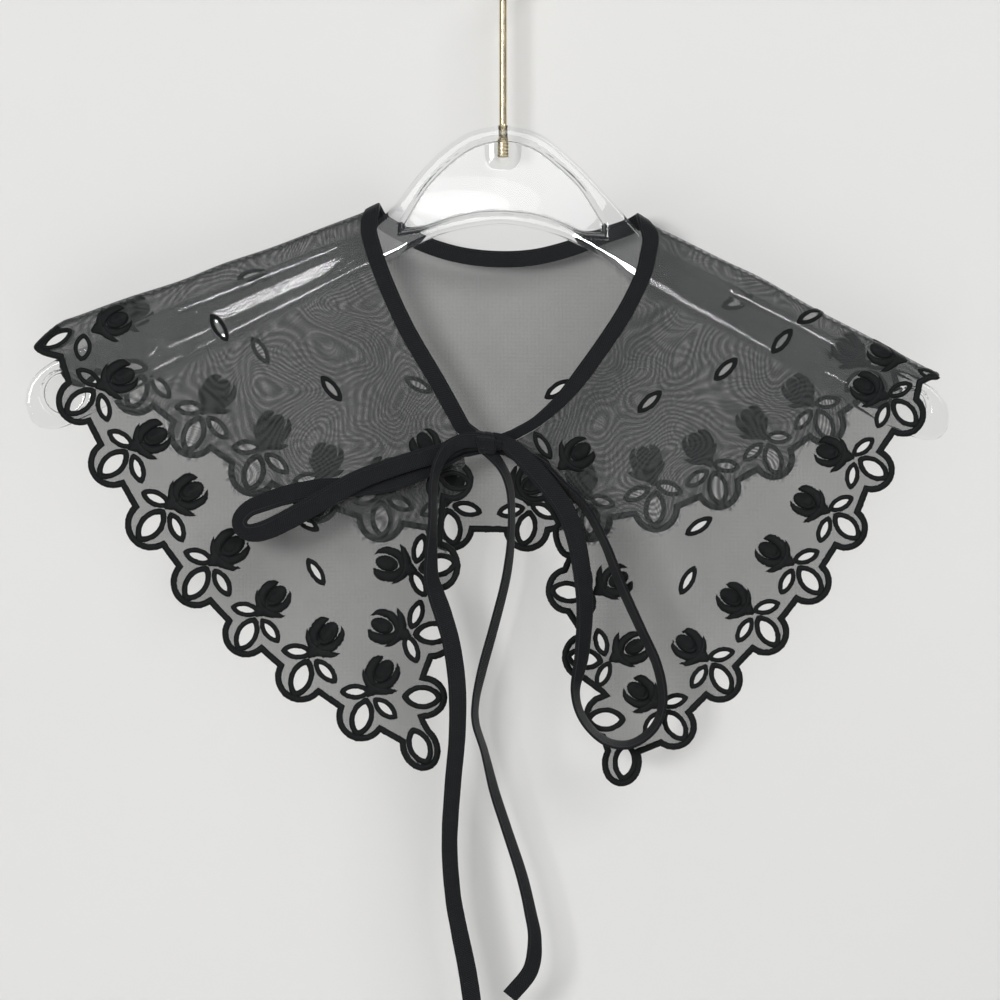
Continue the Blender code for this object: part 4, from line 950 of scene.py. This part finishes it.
def binding_shape(runs):
    """The bias strip round the neck: a flattened oval section on the cloth's own fall.

    Past its last station each end is carried into the knot, forward along a smooth step.
    """
    across, up = strap_section(20, 0.1)
    sections = []
    for run in runs:
        side = int(run[0, 4])
        narrow = 1 - BINDING_TAPER * rounded_step(TAPER_START - run[:, 1], TAPER_SLOPE) * (run[:, 0] > 0)
        drawn = run[:, None, :2] + run[:, None, 2:4] * (narrow[:, None] * across * BINDING_WIDTH / 2)[..., None]
        lift = np.broadcast_to(BINDING_WALL / 2 * (1 + up), drawn.shape[:2])
        sections.append(drape(drawn.reshape(-1, 2), side, lift.ravel()).reshape(*drawn.shape[:2], 3))
    sections = np.concatenate(sections)
    t = np.linspace(0, 1, 9)[1:, None, None]
    rise = np.concatenate([t, rounded_step(t, 1), t], axis=2)
    ends = []
    for ring, (x, z, front) in zip((sections[0], sections[-1]), BINDING_ENDS):
        ends.append(ring + rise * (np.array([x, -front, z]) * MM - ring.mean(axis=0)))
    sections = np.concatenate([ends[0][::-1], sections, ends[1]])
    run = np.linalg.norm(np.diff(sections.mean(axis=1), axis=0), axis=1)
    keep = np.concatenate([[True], run > 0.2 * MM])
    along = np.concatenate([[0], np.cumsum(run)])
    return sweep(sections[keep], across * BINDING_WIDTH / 2, along[keep])


def knot_shape(rings=64, sides=64):
    """The tied knot: a flattened core of strands, with the wrapping turn as a fuller band round its middle.

    The radius is the core's, raised to the wrap's in a soft step, less the folds that wind round both.
    """
    u = np.cos(np.linspace(0, np.pi, rings))
    angle = round_angles(sides)
    u, t = np.meshgrid(u, angle, indexing="ij")
    edge = 0.52 + 0.05 * np.sin(t + 0.8)
    wrap = rounded_step(edge + 0.07 - np.abs(u + 0.06 * np.sin(t)), 0.14)
    size = (0.62 + 0.38 * wrap) * (1 - np.abs(u) ** 6) ** 0.3
    folds = 0.05 * (1 - wrap) * np.cos(7 * t + 3 * u) ** 2
    for depth, place, sway, phase in KNOT_FOLDS:
        folds += depth * np.exp(-(((u - place - sway * np.sin(t + phase)) / KNOT_FOLD_WIDTH) ** 2))
    size = size * (1 - folds)
    box = 0.86 + 0.14 * np.abs(np.cos(2 * t)) ** 0.7
    depth, height = KNOT_DEPTH / 2 * size * box, KNOT_HEIGHT / 2 * size * box
    points = np.stack([u * KNOT.width * MM / 2, -np.cos(t) * depth, np.sin(t) * height], -1)
    points[..., 2] -= 0.1 * points[..., 0]
    points += np.array([KNOT.x, -KNOT.front, KNOT.z]) * MM
    return sweep(points, angle * 6 * MM, (u[:, 0] + 1) * KNOT.width * MM / 2)


# Hanger and hook


def signed_inside(points, loop):
    """Distance inside an outline, negative outside it."""
    start, end = loop, np.roll(loop, -1, axis=0)
    best = np.full(len(points), 1.0)
    for a, b in zip(start, end):
        run = b - a
        share = np.clip(((points - a) @ run) / max(run @ run, 1e-18), 0, 1)
        best = np.minimum(best, np.linalg.norm(points - a - share[:, None] * run, axis=1))
    return np.where(inside(points, loop), best, -best)


def hanger_edges():
    """The hanger's upper and lower edges from its left end to its right end, as smooth curves."""
    upper = smooth(flat([*HANGER_TOP, HANGER_UNDER[0]]), 2 * MM)
    lower = smooth(flat([HANGER_TOP[0], *HANGER_UNDER[::-1]]), 2 * MM)
    return upper, lower


def hanger_shape(rounding, along_count=600, across_count=72):
    """The plate as two height fields between its edges: full depth at the rims, thin in the panels.

    Half the depth is the floor's, raised to the rim's where a point is outside every sunk panel, and
    brought down in a quarter circle within the rounding of the outer edge. The floor is the web's in
    the middle panel, where a mound stands round the hook's bore, and in the arms it swells in a soft step
    from the panel's edge to a flat middle. The rims are flat and fall a little to their outer edge. The
    stations are evenly spaced along the plate, and their gaps shrink evenly towards its two ends.
    """
    upper, lower = hanger_edges()
    left, right = upper[0, 0], lower[-1, 0]
    s, ends = np.linspace(0, 1, along_count), END_SHARE
    left_end, right_end = ends * (s / ends) ** 2 * 0.5, 1 - ends * ((1 - s) / ends) ** 2 * 0.5
    middle = 0.5 * ends + (s - ends) / (1 - 2 * ends) * (1 - ends)
    x = left + (right - left) * np.select([s < ends, s > 1 - ends], [left_end, right_end], middle)
    top = np.interp(x, upper[:, 0], upper[:, 1])
    low = np.interp(x, lower[:, 0], lower[:, 1])
    t = (1 - np.cos(np.linspace(0, np.pi, across_count))) / 2
    z = low[:, None] + (top - low)[:, None] * t
    drawn = np.stack([np.broadcast_to(x[:, None], z.shape), z], -1).reshape(-1, 2)
    edge = np.vstack([upper, lower[::-1][1:-1]])
    outer = np.maximum(signed_inside(drawn, edge[::2]), 0)
    sunk = np.full(len(drawn), -1.0)
    half, floor = HANGER_DEPTH / 2, np.full(len(drawn), HANGER_WEB / 2)
    for start, end in HANGER_POCKETS:
        within = signed_inside(drawn, pocket_outline(start * MM, end * MM))
        sunk = np.maximum(sunk, within)
        if not start < 0 < end:
            floor += ARM_SWELL * rounded_step(within, ARM_SWELL_SLOPE)
    for cx, cz, radius in HANGER_END_POCKETS:
        sunk = np.maximum(sunk, radius * MM - np.linalg.norm(drawn - np.array([cx, cz]) * MM, axis=1))
    mound = np.exp(-((drawn[:, 0] / MOUND_WIDTH) ** 2)) * rounded_step(drawn[:, 1] - MOUND_FOOT, MOUND_SLOPE)
    floor += (half - floor) * MOUND_SHARE * mound
    depth = half - (half - floor) * rounded_step(sunk + 0.4 * MM, RIM_SLOPE)
    edge_share = np.clip(outer / rounding, 0, 1)
    depth = depth - rounding * (1 - np.sqrt(1 - (1 - edge_share) ** 2))
    depth = depth - RIM_FALL * np.clip(1 - outer / RIM_FALL_WIDTH, 0, 1) ** 2
    depth = depth.reshape(z.shape)
    points = np.stack([np.broadcast_to(x[:, None], z.shape), -depth, z], -1)
    behind = points * np.array([1, -1, 1])
    rings = np.concatenate([points, behind[:, ::-1]], axis=1)
    across = np.concatenate([t, t[::-1]])
    return sweep(rings, across * 20 * MM, x)


def hook_shape(sides=20):
    """The rod: a round section along the hook's path, with a helical ridge on its threaded end."""
    thread_z = np.arange(THREAD_END, THREAD_TOP, THREAD_STEP)
    rod = smooth(hook_path(), 2 * MM)
    rod = spaced(rod, round(distances(rod)[-1] / ROD_STEP) + 1)
    path = np.vstack([np.stack([0 * thread_z, thread_z], 1), rod])
    along, way, angle = distances(path), tangents(path), round_angles(sides)
    side_way = np.insert(quarter_turn(way), 1, 0, axis=1)
    threaded = (np.arange(len(path)) < len(thread_z))[:, None]
    ridge = THREAD_DEPTH * np.abs(((along[:, None] / THREAD_PITCH - angle / (2 * np.pi)) % 1) * 2 - 1)
    radius = np.where(threaded, THREAD_RADIUS - ridge, WIRE_RADIUS)
    turned = np.cos(angle)[:, None] * side_way[:, None] + np.sin(angle)[:, None] * np.array([0.0, 1.0, 0.0])
    sections = np.insert(path, 1, 0, axis=1)[:, None] + radius[..., None] * turned
    crook_end = rounded_cap(sections[-1], way[-1], WIRE_RADIUS)
    sections = np.concatenate([sections, crook_end])
    along = np.concatenate([along, along[-1] + np.arange(1, len(crook_end) + 1) * CAP_STEP])
    return sweep(sections, angle * WIRE_RADIUS, along)


def rounded_cap(ring, way, radius, rows=5):
    """Rings that close a rod's end in a shallow dome."""
    middle = ring.mean(axis=0)
    forward = np.array([way[0], 0, way[1]])
    bend = np.linspace(0, np.pi / 2, rows + 1)[1:-1]
    return np.stack([middle + (ring - middle) * np.cos(b) + forward * radius * 0.8 * np.sin(b) for b in bend])


# Materials


class Signal:
    """An output of a shader node. Sums, products and the like of signals become Math nodes."""

    def __init__(self, socket):
        self.socket = socket

    def __add__(self, other):
        return maths("ADD", self, other)

    def __sub__(self, other):
        return maths("SUBTRACT", self, other)

    def __rsub__(self, other):
        return maths("SUBTRACT", other, self)

    def __mul__(self, other):
        return maths("MULTIPLY", self, other)

    def __truediv__(self, other):
        return maths("DIVIDE", self, other)

    def clamped(self):
        """The same signal, kept from 0 to 1 by its own Math node."""
        self.socket.node.use_clamp = True
        return self

    def waves(self, length):
        """Sine waves of a length along the signal."""
        return maths("SINE", self * (2 * np.pi / length))


def add_node(tree, kind, inputs=(), output=0, **settings):
    """A node with its settings, and its inputs as signals or values. Gives one of its outputs."""
    node = tree.nodes.new(kind)
    for key, value in settings.items():
        setattr(node, key, value)
    for socket, value in dict(inputs).items():
        if isinstance(value, Signal):
            tree.links.new(value.socket, node.inputs[socket])
        else:
            node.inputs[socket].default_value = value
    return Signal(node.outputs[output])


def maths(operation, *values):
    """A Math node of some signals and numbers."""
    tree = next(value.socket.id_data for value in values if isinstance(value, Signal))
    return add_node(tree, "ShaderNodeMath", enumerate(values), operation=operation)


class Finish:
    """A Principled material: its constants are set on the shader's own sockets, the rest is fed to it."""

    def __init__(self, name, **constants):
        self.material = bpy.data.materials.new(name)
        self.material.use_nodes = True
        self.tree = self.material.node_tree
        self.shader = self.tree.nodes["Principled BSDF"]
        for socket, value in constants.items():
            self.shader.inputs[socket.replace("_", " ")].default_value = value
        self.place = add_node(self.tree, "ShaderNodeTexCoord", output="Object")

    def split(self, vector):
        """The x, y and z of a vector."""
        first = add_node(self.tree, "ShaderNodeSeparateXYZ", {0: vector})
        return [Signal(output) for output in first.socket.node.outputs]

    def lie(self):
        """The strip's own coordinates, across and along, in metres."""
        return self.split(add_node(self.tree, "ShaderNodeUVMap", uv_map="lie"))[:2]

    def mark(self, name):
        """A number that each point of the mesh carries."""
        return add_node(self.tree, "ShaderNodeAttribute", output="Fac", attribute_name=name)

    def noise(self, scale, detail=2.0, distortion=0.0, place=None):
        """Cloudy unevenness from 0 to 1."""
        inputs = {"Vector": place or self.place, "Scale": scale, "Detail": detail, "Distortion": distortion}
        return add_node(self.tree, "ShaderNodeTexNoise", inputs)

    def feed(self, socket, signal):
        """Links a signal to one of the shader's sockets."""
        self.tree.links.new(signal.socket, self.shader.inputs[socket])

    def bump(self, height, distance, strength):
        """Raises the surface by a height times a distance."""
        inputs = {"Strength": strength, "Distance": distance, "Height": height}
        self.feed("Normal", add_node(self.tree, "ShaderNodeBump", inputs))

    def tint(self, share, colour, dark, light):
        """Colours the surface by a share, from a dark to a light multiple of a colour, at most 1."""
        low, high = np.array(colour) * dark, np.minimum(np.array(colour) * light, 1)
        inputs = {0: share, 6: (*low, 1), 7: (*high, 1)}
        self.feed("Base Color", add_node(self.tree, "ShaderNodeMix", inputs, output=2, data_type="RGBA"))


ORGANZA_THREAD = 0.62 * MM  # from one thread of the organza to the next
MOIRE = ((29.0, 175.0, 0.62), (47.0, 120.0, 0.38))  # scale, turns and share of the coarse and fine rings of the painted moire


def organza_material(cloth):
    """Sheer plain weave: opacity from crossed thread waves and slow unevenness, painted moire bands where doubled and
    the painted shade each point carries, which also tint it.
    """
    finish = Finish("sheer_organza", Roughness=0.55, Specular_IOR_Level=0.25, Sheen_Weight=0.06, Sheen_Roughness=0.4)
    x, _, z = finish.split(finish.place)
    weave = (x.waves(ORGANZA_THREAD) + z.waves(ORGANZA_THREAD)) * 0.035
    slow = (finish.noise(26.0, 3.0) - 0.5) * 0.10
    # painted moire: the light and dark bands of two overlapping weaves, added below to the painted shade that each
    # point carries
    coarse, fine = (maths("SINE", finish.noise(scale, 0.0, 0.4) * turns) * share for scale, turns, share in MOIRE)
    rings = ((coarse + fine) * 0.21 + 0.02) * finish.mark("doubled") + finish.mark("painted_shade")
    finish.feed("Alpha", maths("MAXIMUM", weave + slow + rings + cloth.opacity, 0.05))
    # the colour is tinted by the painted moire and shade, and by uneven tone from noise
    finish.tint((rings * 4.0 + finish.noise(40.0)).clamped(), cloth.colour, 0.6, 1.5)
    return finish.material


def satin_material(stitch):
    """Black satin stitch: fine thread ridges across each band, a soft gloss, a painted sheen on the ridges and slight
    unevenness.
    """
    finish = Finish("satin_stitch", Roughness=0.48, Specular_IOR_Level=0.14, Sheen_Weight=0.03, Sheen_Roughness=0.35)
    _, along = finish.lie()
    threads = (along + finish.noise(900.0) * (0.5 * MM)).waves(stitch.thread)
    finish.bump(threads * 0.5 + finish.noise(2400.0), 0.07 * MM, 0.9)
    # painted sheen: the colour is lighter where the thread ridges stand up; noise gives uneven tone
    finish.tint((threads * 0.18 + finish.noise(120.0)).clamped(), stitch.colour, 0.55, 1.5)
    return finish.material


def ribbon_material(strap):
    """Matt bias strip: fine ribs across its length and a stitched line by one edge, with painted light and shade on
    the ribs, a painted highlight along the stitched line and uneven tone.
    """
    finish = Finish("bias_ribbon", Roughness=0.62, Specular_IOR_Level=0.12, Sheen_Weight=0.05, Sheen_Roughness=0.45)
    across, along = finish.lie()
    ribs = (along + across * 0.8).waves(strap.rib)
    weave = ribs * (across.waves(strap.rib * 0.9) * 0.5 + 0.5)
    seam = (1.0 - maths("ABSOLUTE", across - 2.75 * MM) / (0.35 * MM)).clamped()
    finish.bump(weave * 0.8 + seam * 2.0, 0.2 * MM, 1.0)
    # painted light and shade: the colour is lighter on the raised ribs and much lighter on the stitched line, a
    # painted highlight; noise gives uneven tone
    share = (weave + 1.0) * 0.3 + finish.noise(160.0, 3.0) * 0.15 + seam * 0.5
    finish.tint(share.clamped(), strap.colour, 0.12, 5.0)
    return finish.material


def acrylic_material(hanger):
    """Clear polished acrylic, its tint a little uneven."""
    finish = Finish("clear_acrylic", Roughness=0.0, Transmission_Weight=1.0, IOR=hanger.ior)
    finish.tint(finish.noise(30.0), hanger.colour, 0.97, 1.02)
    return finish.material


def brass_material(hook):
    """Pale drawn brass: lengthwise drawing marks, slow tarnish and fine pits."""
    finish = Finish("pale_brass", Metallic=1.0)
    drawn = add_node(finish.tree, "ShaderNodeMapping", {"Vector": finish.place, "Scale": (1.0, 1.0, 0.04)})
    marks, tarnish = finish.noise(3000.0, place=drawn), finish.noise(140.0, 3.0)
    finish.feed("Roughness", marks * 0.12 + tarnish * 0.16 + 0.12)
    finish.tint(tarnish + marks * 0.2, hook.colour, 0.7, 1.15)
    finish.bump(marks, 0.01 * MM, 0.5)
    return finish.material


def backdrop_material(stage):
    """A pale matt wall that is seen only from its front, with faint cloudy tones."""
    finish = Finish("pale_wall", Roughness=0.9, Specular_IOR_Level=0.1)
    finish.tint(finish.noise(3.0, 4.0), stage.wall_colour, 0.96, 1.04)
    behind = add_node(finish.tree, "ShaderNodeNewGeometry", output="Backfacing")
    clear = add_node(finish.tree, "ShaderNodeBsdfTransparent")
    inputs = {0: behind, 1: Signal(finish.shader.outputs[0]), 2: clear}
    seen = add_node(finish.tree, "ShaderNodeMixShader", inputs)
    finish.tree.links.new(seen.socket, finish.tree.nodes["Material Output"].inputs["Surface"])
    return finish.material


# What a user may change


class ClothSettings(bpy.types.PropertyGroup):
    """The organza"""

    wall: FloatProperty(name="Wall", description="Thickness of the organza", default=0.24 * MM, unit="LENGTH")
    pitch: FloatProperty(
        name="Mesh pitch", description="Distance between the cloth's points",
        default=2.6 * MM, unit="LENGTH",
    )
    opacity: FloatProperty(
        name="Opacity", description="Opacity of each face of the organza",
        default=0.392, subtype="FACTOR", min=0, max=1,
    )
    colour: FloatVectorProperty(
        name="Colour", description="Colour of the organza's threads",
        default=(0.022, 0.024, 0.024), subtype="COLOR", min=0, max=1,
    )


class StitchSettings(bpy.types.PropertyGroup):
    """The embroidery"""

    border: FloatProperty(
        name="Border", description="Width of the satin band along the edges",
        default=3.0 * MM, unit="LENGTH",
    )
    thread: FloatProperty(
        name="Thread", description="Pitch of the threads of the satin stitch",
        default=0.45 * MM, unit="LENGTH",
    )
    colour: FloatVectorProperty(
        name="Colour", description="Colour of the embroidery thread",
        default=(0.0062, 0.0070, 0.0074), subtype="COLOR", min=0, max=1,
    )


class RibbonSettings(bpy.types.PropertyGroup):
    """The binding and the bow"""

    rib: FloatProperty(name="Rib", description="Pitch of the ribs of the bias strip", default=1.1 * MM, unit="LENGTH")
    colour: FloatVectorProperty(
        name="Colour", description="Colour of the binding and the bow",
        default=(0.0058, 0.0062, 0.0070), subtype="COLOR", min=0, max=1,
    )


class HangerSettings(bpy.types.PropertyGroup):
    """The moulded hanger"""

    rounding: FloatProperty(
        name="Edge rounding", description="Radius of the hanger's outer edges",
        default=1.6 * MM, unit="LENGTH",
    )
    ior: FloatProperty(name="IOR", description="Refractive index of the acrylic", default=1.49)
    colour: FloatVectorProperty(
        name="Colour", description="Tint of the acrylic",
        default=(0.97, 0.98, 0.98), subtype="COLOR", min=0, max=1,
    )


class HookSettings(bpy.types.PropertyGroup):
    """The hook"""

    colour: FloatVectorProperty(
        name="Colour", description="Colour of the brass",
        default=(0.66, 0.57, 0.38), subtype="COLOR", min=0, max=1,
    )


class StageSettings(bpy.types.PropertyGroup):
    """The backdrop and the lights"""

    wall_colour: FloatVectorProperty(
        name="Wall", description="Colour of the backdrop and floor",
        default=(0.78, 0.775, 0.76), subtype="COLOR", min=0, max=1,
    )
    wall_distance: FloatProperty(
        name="Wall distance", description="How far the backdrop stands behind the hanger",
        default=22 * MM, unit="LENGTH",
    )
    key: FloatProperty(name="Key light", description="Power of the large window light", default=31.0, unit="POWER")
    fill: FloatProperty(name="Fill light", description="Power of the fill light", default=24.0, unit="POWER")
    streaks: FloatProperty(
        name="Streaks", description="Radiance of the thin lights that show as streaks along the hanger's arms",
        default=150.0,
    )


# Operators: one for each piece or group of like pieces, and one for the stage


def flat_plane(name, corners, material):
    """A single quad that casts no shadow, its corners anticlockwise as seen from where it faces."""
    mesh = bpy.data.meshes.new(name)
    mesh.from_pydata(corners, [], [(0, 1, 2, 3)])
    mesh.materials.append(material)
    plane = bpy.data.objects.new(name, mesh)
    bpy.context.scene.collection.objects.link(plane)
    plane.visible_shadow = False


def area_light(name, place, target, width, height, power):
    """A soft light of a width and a height that faces a point."""
    light = bpy.data.lights.new(name, "AREA")
    light.shape, light.size, light.size_y, light.energy = "RECTANGLE", width, height, power
    lamp = bpy.data.objects.new(name, light)
    lamp.location = place
    lamp.rotation_euler = (Vector(target) - Vector(place)).to_track_quat("-Z", "Y").to_euler()
    lamp.visible_transmission = False
    bpy.context.scene.collection.objects.link(lamp)
    return lamp


def streak_lights(eye, radiance):
    """Thin lights beside the camera that the hanger's flat faces mirror back to it.

    A point seen at (x, z) in a face mirrors the place twice as far from the camera's own x and z, so a
    streak is half as long and half as wide as its light.
    """
    for number, (x0, z0, x1, z1, width) in enumerate(STREAKS):
        start, end = np.array([x0, z0]) * MM, np.array([x1, z1]) * MM
        run, (x, z) = 2 * (end - start), start + end - np.array([eye.x, eye.z])
        long, wide = float(np.linalg.norm(run)), 2 * width * MM
        power = radiance * long * wide * np.pi
        strip = area_light(f"streak_light_{number}", (x, eye.y, z), (x, 0, z), long, wide, power)
        strip.rotation_euler.rotate_axis("Z", float(np.arctan2(run[1], run[0])))


def glow_lights(eye):
    """Nested oval lights that show in the hanger's web as the streaks do in its arms, one behind another."""
    for number, (x, z, width, height, radiance) in enumerate(GLOWS):
        place = (2 * x * MM - eye.x, eye.y - 0.01 * number, 2 * z * MM - eye.z)
        wide, high = 2 * width * MM, 2 * height * MM
        power = radiance * wide * high * np.pi**2 / 4
        oval = area_light(f"glow_light_{number}", place, (place[0], 0, place[2]), wide, high, power)
        oval.data.shape = "ELLIPSE"


class COLLAR_OT_stage(bpy.types.Operator):
    """Sets up the camera, the pale backdrop and floor, and the soft lights"""

    bl_idname = "collar.stage"
    bl_label = "Stage"

    def execute(self, context):
        scene, stage = context.scene, context.scene.collar_stage
        lens = bpy.data.cameras.new("front_view")
        lens.sensor_width, lens.lens, lens.clip_start = 36, CAMERA_LENS, 0.05
        camera = bpy.data.objects.new("front_view", lens)
        camera.location = CAMERA_PLACE
        camera.rotation_euler = (np.pi / 2, 0, 0)
        scene.collection.objects.link(camera)
        scene.camera = camera
        wall = backdrop_material(stage)
        y, reach, floor, near = stage.wall_distance, STAGE_REACH, FLOOR_LEVEL, -FLOOR_DEPTH
        upright = [(-reach, y, floor), (reach, y, floor), (reach, y, WALL_TOP), (-reach, y, WALL_TOP)]
        ground = [(-reach, near, floor), (reach, near, floor), (reach, -near, floor), (-reach, -near, floor)]
        flat_plane("backdrop", upright, wall)
        flat_plane("floor", ground, wall)
        area_light("key_light", (-0.96, -2.4, 0.05), LIGHT_TARGET, 0.94, 0.58, stage.key)
        area_light("fill_light", (1.1, -1.7, 0.9), LIGHT_TARGET, 1.6, 1.2, stage.fill)
        streak_lights(camera.location, stage.streaks)
        glow_lights(camera.location)
        area_light("back_light", (0.9, 1.9, 0.5), LIGHT_TARGET, 1.4, 1.4, stage.fill)
        scene.world = bpy.data.worlds.new("studio")
        scene.world.use_nodes = True
        sky = scene.world.node_tree.nodes["Background"]
        sky.inputs["Color"].default_value, sky.inputs["Strength"].default_value = (0.93, 0.95, 1.0, 1), 0.16
        scene.view_settings.view_transform = "Standard"
        return {"FINISHED"}


def cloth_marks(name, drawn, side, whole_back, plate):
    """What each point of a panel's two skins carries: how doubled the cloth is there, and how much painted shade it
    is given.
    """
    behind, in_plate = side == BACK, signed_inside(drawn, plate)
    doubled = inside(drawn, whole_back).astype(float) * (side == FRONT)
    below = shoulder_at(drawn[:, 0])[0] - drawn[:, 1]
    # painted shade: the organza made more opaque, so darker, along the fold, on the fronts over the back and on the
    # back behind the hanger; a little lighter on the back
    painted_shade = FOLD_SHADE * np.exp(-((below / FOLD_SHADE_WIDTH) ** 2)) + BACK_SHADE * behind
    painted_shade += DOUBLED_SHADE[name] * doubled + ARM_SHADE * np.clip(0.5 + in_plate / ARM_SHADE_EDGE, 0, 1) * behind
    doubled *= np.clip(-in_plate / MOIRE_EDGE, 0, 1)
    return {"doubled": np.concatenate([doubled, doubled]), "painted_shade": np.concatenate([painted_shade, painted_shade])}


class COLLAR_OT_panels(bpy.types.Operator):
    """Cuts, hangs and embroiders the left front, the right front and the back"""

    bl_idname = "collar.panels"
    bl_label = "Organza and embroidery"

    def execute(self, context):
        cloth, stitch = context.scene.collar_cloth, context.scene.collar_stitch
        organza, satin = organza_material(cloth), satin_material(stitch)
        runs = neck_stations()
        panels = {
            "collar_front_left": left_front(runs[0]),
            "collar_front_right": right_front(runs[2]),
            "collar_back": back(runs[1]),
        }
        whole_back = panels["collar_back"].outline
        upper, lower = hanger_edges()
        plate = np.vstack([upper[::3], lower[::-3]])
        for name, panel in panels.items():
            drawn, faces = cut_cloth(name, panel, cloth.pitch)
            shape = cloth_shape(drawn, faces, panel.side, cloth.wall)
            marks = cloth_marks(name, drawn, panel.side, whole_back, plate)
            sheer = mesh_piece(name + "_organza", shape, organza, marks)
            stitched = embroidery(name + "_embroidery", panel, stitch.border, satin)
            sheer.visible_shadow = stitched.visible_shadow = False
            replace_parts(sheer, name)
        return {"FINISHED"}


class COLLAR_OT_ribbon(bpy.types.Operator):
    """Binds the neck and ties the bow"""

    bl_idname = "collar.ribbon"
    bl_label = "Binding and bow"

    def execute(self, context):
        fabric = ribbon_material(context.scene.collar_ribbon)
        binding = binding_shape(neck_stations(1.2 * MM))
        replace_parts(closed_piece("neck_binding_strip", binding, fabric), "neck_binding")
        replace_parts(closed_piece("bow_knot", knot_shape(), fabric), "tie_knot")
        for name, rows, far_end in (
            ("tie_loop_left", LOOP_LEFT, "object"),
            ("tie_loop_right", LOOP_RIGHT, "object"),
            ("tie_tail_left", TAIL_LEFT, "bare"),
            ("tie_tail_right", TAIL_RIGHT, "bare"),
        ):
            shape, path = ribbon_shape(rows, RIBBON_WALL, seed=len(name))
            strip = closed_piece(name + "_ribbon", shape, fabric)
            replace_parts(strip, name)
        return {"FINISHED"}


class COLLAR_OT_hanger(bpy.types.Operator):
    """Moulds the clear hanger with its rims and sunk panels"""

    bl_idname = "collar.hanger"
    bl_label = "Hanger"

    def execute(self, context):
        hanger = context.scene.collar_hanger
        plate = closed_piece("moulded_hanger", hanger_shape(hanger.rounding), acrylic_material(hanger))
        plate.visible_shadow = plate.visible_diffuse = False
        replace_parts(plate, "hanger_body")
        return {"FINISHED"}


class COLLAR_OT_hook(bpy.types.Operator):
    """Turns the hook from its threaded end to its crook"""

    bl_idname = "collar.hook"
    bl_label = "Hook"

    def execute(self, context):
        brass = brass_material(context.scene.collar_hook)
        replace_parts(closed_piece("threaded_hook", hook_shape(), brass), "hanger_hook")
        return {"FINISHED"}


STEPS = (COLLAR_OT_stage, COLLAR_OT_ribbon, COLLAR_OT_panels, COLLAR_OT_hanger, COLLAR_OT_hook)
SETTINGS = {
    "collar_cloth": ClothSettings,
    "collar_stitch": StitchSettings,
    "collar_ribbon": RibbonSettings,
    "collar_hanger": HangerSettings,
    "collar_hook": HookSettings,
    "collar_stage": StageSettings,
}


class COLLAR_PT_sidebar(bpy.types.Panel):
    """The collar's pieces and their sizes and colours"""

    bl_idname = "COLLAR_PT_sidebar"
    bl_label = "Lace Collar"
    bl_space_type = "VIEW_3D"
    bl_region_type = "UI"
    bl_category = "Collar"

    def draw(self, context):
        for piece in STEPS:
            self.layout.operator(piece.bl_idname)
        for attribute, group in SETTINGS.items():
            box = self.layout.box()
            for prop in group.__annotations__:
                box.prop(getattr(context.scene, attribute), prop)


CLASSES = (*SETTINGS.values(), *STEPS, COLLAR_PT_sidebar)


def register():
    """Makes the classes and their settings known to Blender."""
    for cls in CLASSES:
        bpy.utils.register_class(cls)
    for attribute, group in SETTINGS.items():
        setattr(bpy.types.Scene, attribute, PointerProperty(type=group))


def unregister():
    """Takes them out again, the last first."""
    for attribute in SETTINGS:
        delattr(bpy.types.Scene, attribute)
    for cls in reversed(CLASSES):
        bpy.utils.unregister_class(cls)


def main():
    """Makes every piece in order."""
    register()
    for piece in STEPS:
        group, name = piece.bl_idname.split(".")
        getattr(getattr(bpy.ops, group), name)()


if __name__ == "__main__":
    main()
